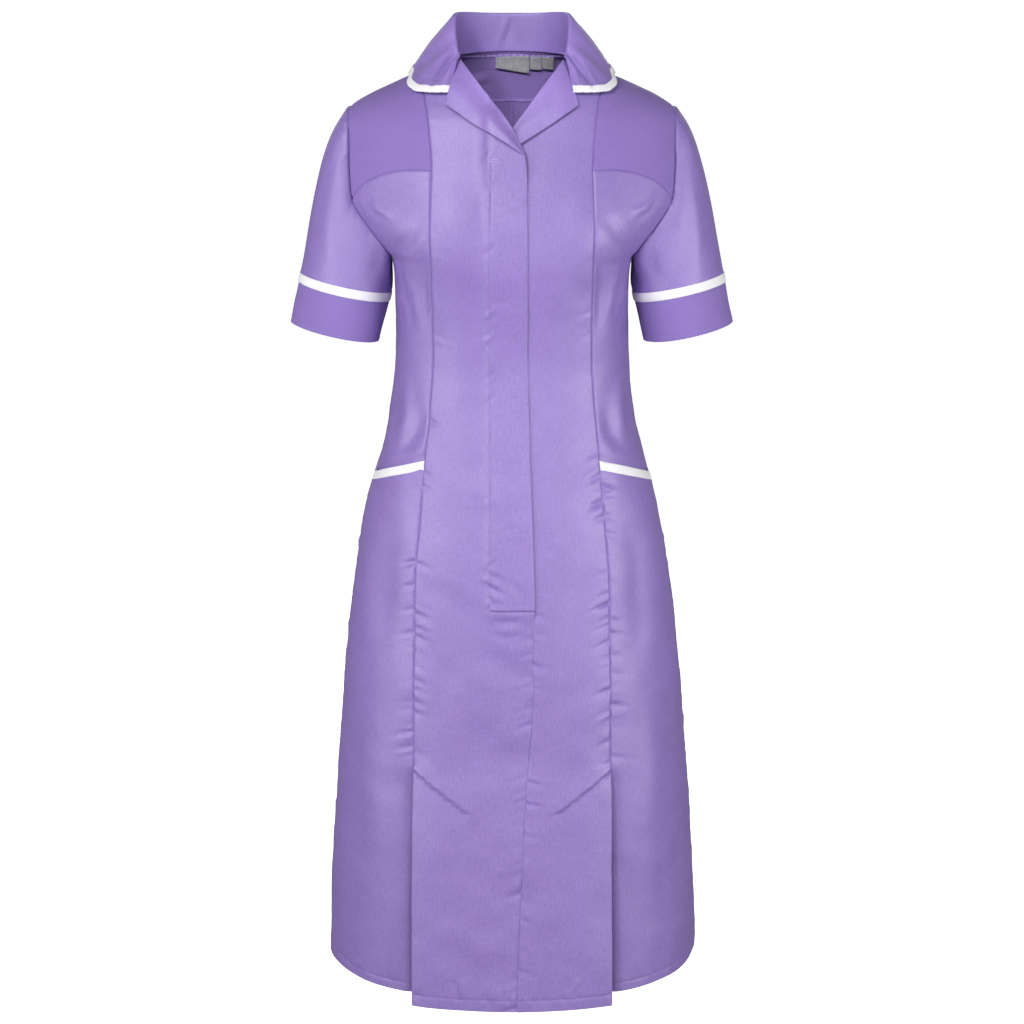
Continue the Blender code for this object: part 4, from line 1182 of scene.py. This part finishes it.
def facing_out(ring):
    """The normals of a ring, pointing away from its middle."""
    facing = grid_normals(ring, ring=True)
    return facing if (facing * (ring - ring.mean(axis=(0, 1)))).sum() > 0 else -facing


def sleeve_pieces(side, mirror, seed):
    columns = 132
    stations = BOTTOM + np.arange(columns) * len(ARMHOLE) / columns
    stations = stations[::-1]  # so that the columns run round to the left, seen from above
    start, leave, turns = sleeve_start(stations, mirror)
    end, down = tube(turns, -TAPE_WIDTH), sleeve_axes()[0]
    reach = np.linalg.norm(end - start, axis=-1, keepdims=True)
    t = np.concatenate([[0, 0.006, 0.014, 0.026], np.linspace(0.045, 1, 36)])[:, None, None]
    body = (2 * t**3 - 3 * t**2 + 1) * start + (t**3 - 2 * t**2 + t) * leave * reach * 0.68
    body = body + (3 * t**2 - 2 * t**3) * end + (t**3 - t**2) * down * reach
    tail = np.stack([tube(turns, d) for d in (-6.5, -3.5, -1.5, -GAP)])
    grid = np.concatenate([body, tail])[::-1]
    normals = grid_normals(grid, ring=True)
    if (normals[len(grid) // 2] * (grid[len(grid) // 2] - grid[len(grid) // 2].mean(axis=0))).sum() < 0:
        grid, normals, turns = grid[:, ::-1], -normals[:, ::-1], turns[::-1]
    share = np.concatenate([t[:, 0, 0], [1.01, 1.02, 1.03, 1.04]])[::-1]

    def at(turn, place):
        row = np.interp(place, share[::-1], np.arange(len(share))[::-1])
        column = np.argmin(np.abs((turns - turn + 180) % 360 - 180))
        return grid[int(round(row)), column]

    offset = np.zeros(grid.shape[:2])
    for line, width, depth in SLEEVE_CREASES:
        turn_by, shorter, shallower = (5, 0.94, 0.8) if mirror else (0, 1, 1)
        path = [at(turn + turn_by, place * shorter) for turn, place in line]
        offset += crease(grid, path, width, depth * shallower)
    world = grid * (-1 if mirror else 1, 1, 1)
    calm = smooth_step(share, 0, 0.15)[:, None]
    offset = offset * calm + calm * 0.8 * lattice_noise(world, 38, 11 + seed, (1, 1, 1.6))
    from_top = np.linalg.norm(grid - grid[-1:], axis=-1)
    ease = bell(from_top, 9) * (1 - bell(from_top, 2))
    turned = np.radians(turns)[None, :]
    gathers = np.sin(turned * 46 + 1.7 * np.sin(turned * 5 + seed))
    offset += 0.8 * ease * (0.5 + 0.5 * np.cos(turned)) * gathers
    offset += 1.1 * ease * np.clip(np.cos(turned), 0, 1)
    offset += 0.25 * ease * ripple(turned * 60 + 0 * offset, 9, seed)
    offset = offset * smooth_step(1.0 - share, -0.02, 0.10)[:, None] + seam_roll(from_top, 0.3)
    grid = grid + normals * offset[..., None]
    pieces = {}

    def made(name, points, facing, finish, slot, wall, ring_seed):
        if mirror:
            points, facing = points[:, ::-1] * (-1, 1, 1), facing[:, ::-1] * (-1, 1, 1)
        node, grain = f"{name}_{side}", 0.2 * ring_seed
        pieces[name] = sheet_of(node, points, facing, finish, slot, wall, ring=True, grain=grain)

    made("sleeve", grid, normals, lilac, "cloth", CLOTH, seed)

    at_cuff = spread(CUFF_LENGTH, 3, marks=(CUFF_LENGTH - 6,)) * (CUFF_LENGTH - GAP) + GAP
    cuff = tube(turns[None, :], at_cuff[::-1, None])
    facing = facing_out(cuff)
    distance = at_cuff[::-1, None]
    uneven = lattice_noise(cuff * (-1 if mirror else 1, 1, 1), 30, 17 + seed)
    flare = np.sin(turned * 3 + 1.1 + seed) * (1 - 0.3 * np.cos(turned))
    beside_hem = ripple(turned * 58 + 0 * distance, 12, seed + 3)
    shift = 0.5 * smooth_step(distance, 6, 25) * uneven
    shift += 0.9 * smooth_step(distance, 8, 50) * flare
    shift -= 0.22 * bell(distance - CUFF_LENGTH + 6, 0.9)
    shift += 0.12 * bell(distance - CUFF_LENGTH + 8.5, 3) * beside_hem
    wall = CLOTH + 0.7 * (smooth_step(distance, CUFF_LENGTH - 7, CUFF_LENGTH - 5) + 0 * shift)
    made("cuff", cuff + facing * shift[..., None], facing, deep_lilac, "yoke_cloth", wall, seed + 1)

    at_tape = np.linspace(TAPE_WIDTH / 2, -TAPE_WIDTH / 2, 9)
    tape = tube(turns[None, :], at_tape[:, None])
    facing = facing_out(tape)
    lift = 0.15 + TAPE + 0.3 * np.cos(at_tape / TAPE_WIDTH * math.pi)[:, None]
    lift = lift + 0.10 * ripple(turned * 55 + 0 * lift, 14, seed + 5)
    made("sleeve_trim", tape + facing * lift[..., None], facing, white, "white_trim", TAPE, seed + 2)
    return pieces


# ---- collar, its binding, and the lapels


def neck_height(angle):
    """Height of the neck seam: level at the back, a little lower at the shoulder and to the front."""
    return np.interp(angle, (58, SIDE, BACK), (-5.6, NECK_SIDE_HEIGHT, 0))


LEAF_ROWS, FOOT_LAP, LEAF_LONGER = 20, 2.2, 2.6
STAND_SHARES, ROLL_POINTS = (0, 0.03, 0.08, 0.2, 0.35, 0.5, 0.65, 0.8, 0.92), 9


def collar_profile(position):
    """Up the stand, over the roll in a half turn, and down the leaf, which bulges a little."""
    stations = [(angle, *roll, *edge) for angle, roll, *edge in COLLAR]
    angle, *roll, edge_angle, edge_height, off = track(stations)(position)
    edge = form(edge_angle, edge_height) + outward(edge_angle, edge_height) * off
    longer = LEAF_LONGER * smooth_step(position, 8.8, 7) * smooth_step(position, 2.5, 4.5)
    edge = edge + unit(edge - roll) * longer
    low = neck_height(angle) - FOOT_LAP - 4.6 * smooth_step(angle, 105, 165)
    foot = form(angle, low) - outward(angle, low) * (CLOTH + 0.75)
    away = unit((edge - roll) * (1, 1, 0))
    up = np.array((0, 0, 1))
    centre = roll + (away - up) * ROLL_RADIUS
    stand_top = centre - away * ROLL_RADIUS
    points = [foot + (stand_top - foot) * share for share in STAND_SHARES]
    for turn in np.radians(np.linspace(0, 150, ROLL_POINTS)):
        points.append(centre + ROLL_RADIUS * (up * math.sin(turn) - away * math.cos(turn)))
    start = points[-1]
    leaf = edge - start
    normal = unit(np.cross(np.cross(away, up), leaf))
    normal = normal if normal[2] > 0 else -normal
    length = np.linalg.norm(leaf)
    bulge = LEAF_BULGE * (1 - 0.9 * smooth_step(position, 2.5, 4) * (1 - smooth_step(position, 6, 7)))
    for share in spread(length, 3.2, fine_first=False)[1:]:
        points.append(start + leaf * share + normal * bulge * math.sin(math.pi * share) ** 0.8)
    return points


COLLAR_CREASES = [
    # line of (place along the collar from its right end to its left one, share from the edge), width, depth
    (((0.030, 0.03), (0.027, 0.30), (0.022, 0.62)), 3.4, -2.8),
    (((0.010, 0.05), (0.009, 0.30), (0.006, 0.6)), 2.6, 1.5),
    (((0.062, 0.03), (0.060, 0.28), (0.052, 0.55)), 4.5, 0.9),
    (((0.970, 0.03), (0.973, 0.30), (0.978, 0.62)), 3.4, -2.5),
    (((0.990, 0.05), (0.991, 0.30), (0.994, 0.6)), 2.6, 1.4),
    (((0.938, 0.03), (0.940, 0.28), (0.948, 0.55)), 4.5, 0.8),
    (((0.20, 0.05), (0.21, 0.3), (0.23, 0.5)), 7, 1.0),
    (((0.80, 0.05), (0.79, 0.3), (0.77, 0.5)), 7, 1.0),
    (((0.36, 0.04), (0.37, 0.25), (0.385, 0.45)), 8, -0.9),
    (((0.63, 0.04), (0.62, 0.25), (0.61, 0.45)), 8, -0.9),
    (((0.487, 0.78), (0.468, 0.85), (0.442, 0.92)), 2.4, 1.6),
    (((0.498, 0.79), (0.478, 0.86), (0.452, 0.93)), 2.6, -1.4),
    (((0.54, 0.92), (0.525, 0.87), (0.50, 0.86)), 3.2, -0.9),
    (((0.100, 0.03), (0.104, 0.25), (0.112, 0.5)), 7, -1.6),
    (((0.900, 0.03), (0.896, 0.25), (0.888, 0.5)), 7, -1.6),
]


def collar_pieces():
    positions = np.concatenate([np.linspace(0, 7.0, 50)[:-1], np.linspace(7.0, 8, 18)])
    half = []
    for position in positions:
        points = collar_profile(position)
        run = np.concatenate([[0], np.cumsum(np.linalg.norm(np.diff(points, axis=0), axis=1))])
        stand = run[: len(STAND_SHARES) + ROLL_POINTS]
        leaf = stand[-1] + (run[-1] - stand[-1]) * spread(60, 60 / LEAF_ROWS, fine_first=False)[1:]
        at = np.interp(np.append(stand, leaf), run, np.arange(len(points)))
        half.append(interpolated(np.array(points), np.clip(at, 0, len(points) - 1.0001)))
    half = np.array(half).transpose(1, 0, 2)[::-1]  # rows from the edge up to the seam
    grid = np.concatenate([half[:, ::-1], half[:, 1:] * (-1, 1, 1)], axis=1)
    normals = grid_normals(grid)
    rows = grid.shape[0]
    run = np.cumsum(np.linalg.norm(np.diff(grid[rows // 2], axis=0), axis=1))
    place = 1 - np.append(0, run) / run[-1]

    def at(along_it, from_edge):
        return grid[int(round(from_edge * (rows - 1))), int(np.argmin(np.abs(place - along_it)))]

    offset = 0.45 * lattice_noise(grid, 26, 31) * np.sin(np.pi * np.linspace(0.05, 0.95, rows))[:, None]
    for line, width, depth in COLLAR_CREASES:
        offset += crease(grid, [at(*p) for p in line], width, 1.5 * depth)
    offset = offset * (0.3 + 0.7 * smooth_step(np.linspace(0, 1, rows), 0, 0.3))[:, None]
    from_seam = np.linalg.norm(grid - grid[-1:], axis=-1)
    run_along = np.append(0, run)[None, :]
    offset += 0.35 * bell(from_seam - 3.0, 2.2) * ripple(run_along + 0 * offset, 8, 37)
    grid = grid + normals * offset[..., None]
    normals = grid_normals(grid)
    wall = 0.4 + (DOUBLE - 0.4) * smooth_step(from_seam, 3.4, 5.5)
    collar = sheet_of("collar", grid, normals, lilac, "cloth", wall, grain=2.1)
    rows_of_tape, facing = wrapped(grid, normals, DOUBLE, BINDING_WIDTH, 5.5)
    swell = swelling(rows_of_tape, 0.22)
    swollen = swell * (1 + 0.35 * ripple(run_along + 0 * swell, 10, 41))
    rows_of_tape = rows_of_tape + facing * swollen[..., None]
    return collar, sheet_of("collar_trim", rows_of_tape, facing, white, "white_trim", STRIP)


def lapel(node, base_lift, mirror, stands_off, seed):
    """The front's corner, which turns back along the roll line and lies on the front down to the break."""
    rows = np.concatenate([np.linspace(0.03, 0.9, 34), [0.93, 0.96, 0.98, 0.99, 1.0]])
    shares = np.concatenate([[0, 0.1], np.linspace(0, 0.93, 16)[1:], [0.96, 0.98, 0.99, 1.0]])
    turns = np.radians(np.linspace(10, 180, 11))
    radius, sign = 1.75, -1 if mirror else 1
    roll = track(ROLL)(rows * (len(ROLL) - 1))
    break_point, point = np.array(ROLL[0], float), np.array(LAPEL_POINT, float)
    edge = break_point + (point - break_point) * rows[:, None]
    edge = edge + np.array((-0.55, -0.83)) * 1.5 * np.sin(math.pi * rows)[:, None]
    small = np.clip(np.linalg.norm(edge - roll, axis=1) / 14, 0, 1)[:, None]
    flat = roll[:, None] + (edge - roll)[:, None] * shares[None, :, None]
    x, z = flat[..., 0], flat[..., 1]
    angle = on_front(x, z)
    normal = outward(angle, z)
    ground = base_lift(x, z) + relief(form(angle * sign, z), angle * sign, z)
    level_ground = form(angle, z) + normal * ground[..., None]
    towards = unit(level_ground[:, 1] - level_ground[:, 0])
    turned = radius * (0.45 + 0.55 * small)
    centre = level_ground[:, 0] - towards * 0.10 + normal[:, 0] * (turned - CLOTH)
    columns = []
    for turn in turns:
        columns.append(centre - (towards * math.sin(turn) + normal[:, 0] * math.cos(turn)) * turned)
    level = 2 * turned - CLOTH
    lifted = level + (stands_off - level) * small * smooth_step(shares, 0, 0.75) - 0.5 * (1 - small)
    swing = 0.6 + 0.4 * np.sin(5 * rows + seed)[:, None]
    lifted = lifted + 0.9 * small * np.sin(math.pi * shares) * swing
    uneven = lattice_noise(level_ground * (sign, 1, 1), 17, 51 + seed)
    lifted = lifted + 0.7 * small * uneven * smooth_step(shares, 0, 0.3)
    leaf = level_ground + normal * lifted[..., None]
    grid = np.concatenate([np.stack(columns, axis=1), leaf[:, 2:]], axis=1)
    if mirror:
        grid = grid[:, ::-1] * (-1, 1, 1)
    facing = grid_normals(grid)
    return sheet_of(node, grid, facing, lilac, "cloth", DOUBLE * 0.85, grain=0.3 * seed)


# ---- labels sewn into the back of the neck


LABEL_WALL = 0.45
LABELS = (
    # node, left, right, length, tilt of the top, slant of the lower edge
    ("neck_label", -18.5, 19.5, 15.5, 0.055, 0.5),
    ("small_label_inner", 20.3, 33.5, 14, 0.03, 0.05),
    ("small_label_outer", 34.3, 47, 13, -0.06, 0.05),
)


def label(node, left, right, length, tilt, slant, seed):
    """A blank woven tab that hangs from the neck seam inside the back."""
    distance, drop = np.meshgrid(np.linspace(left, right, 22), np.linspace(length, 0, 12))
    low = drop * (1 - slant / 2 + slant * (distance - left) / (right - left))
    height = -6.4 - low + tilt * (distance - (left + right) / 2) * 0.6
    share = (np.abs(distance) / half_width(height)) ** (back_square(height) / 2)
    angle = np.copysign(BACK - np.degrees(np.arcsin(share)), distance)
    normal = outward(angle, height)
    curl = 0.5 * np.sin(math.pi * (distance - left) / (right - left)) * drop / length
    inside = 2.9 + 0.13 * drop + curl - relief(form(angle, height), angle, height)
    grid = form(angle, height) - normal * inside[..., None]
    return sheet_of(node, grid, -normal, grey, "label", LABEL_WALL, grain=0.4 * seed)


# ---- the dress

sheets = {}
for k, (side, mirror) in enumerate((("right", True), ("left", False))):
    seed = 100 * k
    edge = (lambda z: -front_edge(z)) if mirror else underlap_edge
    node = f"front_centre_{side}"
    sheets[node] = centre_front(node, edge, right_lift if mirror else left_lift, mirror, 3 + seed)
    sheets[f"front_yoke_{side}"] = front_yoke(f"front_yoke_{side}", mirror, 13 + seed)
    sheets[f"front_side_{side}"] = side_front(f"front_side_{side}", mirror, 23 + seed)
    sheets[f"skirt_side_{side}"] = skirt_side(f"skirt_side_{side}", mirror, 33 + seed)
    skirt = sheets[f"skirt_side_{side}"]
    sheets[f"pocket_trim_{side}"] = pocket_trim(f"pocket_trim_{side}", skirt, 43 + seed)
    sheets[f"kick_pleat_{side}"] = kick_pleat(f"kick_pleat_{side}", mirror, 53 + seed)
    sheets[f"back_{side}"] = back_half(f"back_{side}", mirror, 63 + seed)
    for name, sheet in sleeve_pieces(side, mirror, 7 + k).items():
        sheets[f"{name}_{side}"] = sheet
sheets["back_yoke"] = back_yoke("back_yoke")
sheets["collar"], sheets["collar_trim"] = collar_pieces()
sheets["lapel_right"] = lapel("lapel_right", right_lift, True, 8.0, 2)
sheets["lapel_left"] = lapel("lapel_left", left_lift, False, 5.0, 5)
for k, row in enumerate(LABELS):
    sheets[row[0]] = label(*row, 5 + k)

# ---- the kind and side of each piece, read from its name; nothing is done with them

SEWN_TO = {
    "front_side": "front_yoke", "skirt_side": "front_side", "kick_pleat": "front_centre",
    "pocket_trim": "skirt_side", "sleeve_trim": "sleeve", "cuff": "sleeve", "lapel": "front_centre",
    "collar_trim": "collar",
}
for node, sheet in sheets.items():
    kind, _, side = node.rpartition("_")
    kind, side = (kind, "_" + side) if side in ("right", "left") else (node, "")
    if kind in SEWN_TO:
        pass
    elif node == "back_yoke":
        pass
    else:
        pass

# ---- stitches


def on_cloth(pairs, lift, mirror, samples=40):
    """A path on a centre front through (distance from the middle, height), with its normals."""
    flat = along(pairs, samples)
    angle, height = on_front(flat[:, 0], flat[:, 1]), flat[:, 1]
    normal = outward(angle, height)
    lifted = lift(flat[:, 0] * (-1 if mirror else 1), height)
    rise = relief(form(angle, height), angle, height) + lifted
    return form(angle, height) + normal * rise[:, None], normal


def behind(path, wall=CLOTH):
    """The same path on the other face of the cloth."""
    points, normals = path
    return points - normals * wall, -normals


right_front = sheets["front_centre_right"]
world_x, world_z = right_front.base[..., 0], right_front.base[..., 2]
placket_line = right_front.line_up(world_x, -PLACKET_STITCH, PLACKET_END, -106)
end_points, end_normals = right_front.line_over(world_z, PLACKET_END)
across = end_points[:, 0] > -PLACKET_STITCH
hook = on_cloth(((-25, -107.5), (-22, -105), (-18, -104.2), (-12.5, -105.5)), right_lift, True)
hook_low = on_cloth(((-21.5, -107.3), (-17.5, -106.8), (-13.5, -107.6)), right_lift, True)
placket_lines = [placket_line, (end_points[across], end_normals[across])]
stitches("stitches_placket", placket_lines, thread, "cloth", seed=2)
stitches("stitches_hook", [hook, hook_low], pale_thread, "cloth", pitch=1.6, thick=0.35, seed=9)

hems = []
hem_heights = {"front_centre": CENTRE_HEM_STITCH, "skirt_side": HEM_STITCH, "back": HEM_STITCH}
for node, height in hem_heights.items():
    for side in ("right", "left"):
        sheet = sheets[f"{node}_{side}"]
        path = sheet.line_over(sheet.distance["bottom"], height)
        hems += [path, behind(path, CLOTH + 0.4)]
stitches("stitches_hem", hems, thread, "cloth", seed=3)

pleats = []
for mirror, lift in ((True, right_lift), (False, left_lift)):
    sign = -1 if mirror else 1
    for shift in (0, -4.2):
        line = [(sign * x, z + shift) for x, z in ((107, -780), (80, -799.5), (49, -822))]
        pleats.append(on_cloth(line, lift, mirror))
    for shift in (0, 1.2, 2.4):
        bar = (sign * (108.5 - shift), -776), (sign * (107 - shift), -786)
        pleats.append(on_cloth(bar, lift, mirror, 6))
stitches("stitches_pleat", pleats, thread, "cloth", thick=0.16, seed=4)

trims = []
for side in ("right", "left"):
    band = sheets[f"pocket_trim_{side}"]
    trims.append(band.line_over(band.distance["bottom"], 1.3))
    tape = sheets[f"sleeve_trim_{side}"]
    trims += [tape.line_over(tape.distance["bottom"], level) for level in (1.3, TAPE_WIDTH - 1.3)]
binding = sheets["collar_trim"]
trims.append(binding.line_over(-binding.distance["top"], -1.2))
stitches("stitches_trim", trims, white_thread, "white_trim", pitch=2.6, thick=0.2, seed=5)

cuffs = []
for side in ("right", "left"):
    sheet = sheets[f"cuff_{side}"]
    cuffs.append(sheet.line_over(sheet.distance["bottom"], 6))
stitches("stitches_cuff", cuffs, thread, "yoke_cloth", seed=6)

yoke = sheets["back_yoke"]
seams = [yoke.line_over(yoke.distance["bottom"], level) for level in (1.6, 6.6)]
seams += [behind(path) for path in seams]
stitches("stitches_back_yoke", seams, thread, "yoke_cloth", seed=7)

collar = sheets["collar"]
from_foot = collar.distance["top"]
lines = [collar.line_over(-from_foot, -level) for level in (0.9, 4.6)]
ZIGZAG_POINTS = 150
places = [np.linspace(0, len(lines[0][0]) - 1.001, ZIGZAG_POINTS) for _ in lines]
low, high = (interpolated(line[0], place) for line, place in zip(lines, places))
facing = interpolated(lines[0][1], places[0])
zigzag = np.where((np.arange(ZIGZAG_POINTS) % 2 == 0)[:, None], low, high), facing
seam_lines = [zigzag, lines[1]]
stitches("stitches_neck", seam_lines, pale_thread, "cloth", pitch=2.1, length=2.2, thick=0.4, seed=8)

# ---- stage and lights


def lamp(name, kind, at, towards, power, **settings):
    data = bpy.data.lights.new(name, kind)
    data.energy = power
    for key, value in settings.items():
        setattr(data, key, value)
    light = bpy.data.objects.new(name, data)
    light.visible_camera = False
    light.location = at
    light.rotation_euler = (Vector(towards) - Vector(at)).to_track_quat("-Z", "Y").to_euler()
    bpy.context.scene.collection.objects.link(light)


AREA_LIGHTS = (
    # name, place, aim, size, power
    ("key", (-0.9, -1.8, 0.95), (0, 0, -0.2), 0.25, 22),
    ("level", (0.1, -2.1, -0.45), (0, 0, -0.45), 1.2, 8.2),
    ("high", (-0.2, -1.7, 1.3), (0, 0, -0.1), 0.5, 5.5),
    ("side_right", (-1.4, -1.1, -0.5), (0, 0, -0.5), 0.8, 14.5),
    ("side_left", (1.4, -1.1, -0.5), (0, 0, -0.5), 0.8, 17.5),
    ("behind", (0.1, 2.7, 0.0), (0, 0, -0.4), 1.0, 27),
    ("behind_right", (-1.2, 2.7, 0.6), (0, 0, -0.4), 1.4, 5),
    ("behind_left", (1.2, 2.7, 0.6), (0, 0, -0.4), 1.4, 5),
)
SPOT_LIGHTS = (
    # name, place, aim, width of the beam in degrees, power, radius of the lamp
    ("inside", (0, -1.3, 0.56), (0, 0.06, -0.04), 9, 54, 0.03),
    ("waist_right", (-1.0, -1.7, -0.45), (-0.18, -0.05, -0.36), 8, 64, 0.3),
    ("waist_left", (1.0, -1.7, -0.45), (0.18, -0.05, -0.36), 8, 100, 0.3),
)
for name, at, towards, size, power in AREA_LIGHTS:
    lamp(name, "AREA", at, towards, power, shape="SQUARE", size=size)
for name, at, towards, beam, power, radius in SPOT_LIGHTS:
    beam = math.radians(beam)
    lamp(name, "SPOT", at, towards, power, shadow_soft_size=radius, spot_size=beam, spot_blend=1.0)

# The camera sees a white studio. The light of the studio is dim, and weaker from below than from above.
WORLD_LIGHT = 0.17
world = bpy.data.worlds.new("studio")
bpy.context.scene.world = world
world.use_nodes = True
tree = world.node_tree
direction = add(tree, "ShaderNodeTexCoord", {}, "Generated")
upward = add(tree, "ShaderNodeSeparateXYZ", {"Vector": direction}, "Z")
low, high = WORLD_LIGHT * 0.7, WORLD_LIGHT * 1.4
inputs = {"Value": upward, "From Min": -0.6, "From Max": 0.6, "To Min": low, "To Max": high}
dim = add(tree, "ShaderNodeMapRange", inputs, "Result")
seen = add(tree, "ShaderNodeLightPath", {}, "Is Camera Ray")
strength = add(tree, "ShaderNodeMapRange", {"Value": seen, "To Min": dim, "To Max": 1.0}, "Result")
background = tree.nodes["Background"]
tree.links.new(strength, background.inputs["Strength"])
background.inputs["Color"].default_value = (1, 1, 1, 1)

floor_mesh = bpy.data.meshes.new("floor")
FLOOR_AT, FLOOR_HALF = -1.40, 60.0
corners = [(x * FLOOR_HALF, y * FLOOR_HALF, FLOOR_AT) for x, y in ((-1, -1), (1, -1), (1, 1), (-1, 1))]
floor_mesh.from_pydata(corners, [], [(0, 1, 2, 3)])
floor = bpy.data.objects.new("floor", floor_mesh)
bpy.context.scene.collection.objects.link(floor)
floor_finish = material_of("pale_floor")
shader = floor_finish.node_tree.nodes["Principled BSDF"]
shader.inputs["Base Color"].default_value = (0.9, 0.9, 0.9, 1)
shader.inputs["Roughness"].default_value = 0.9
shader.inputs["Emission Color"].default_value = (1, 1, 1, 1)
shader.inputs["Emission Strength"].default_value = 0.85
floor_mesh.materials.append(floor_finish)
floor.visible_diffuse = False
floor.visible_glossy = False

bpy.context.scene.view_settings.view_transform = "Standard"
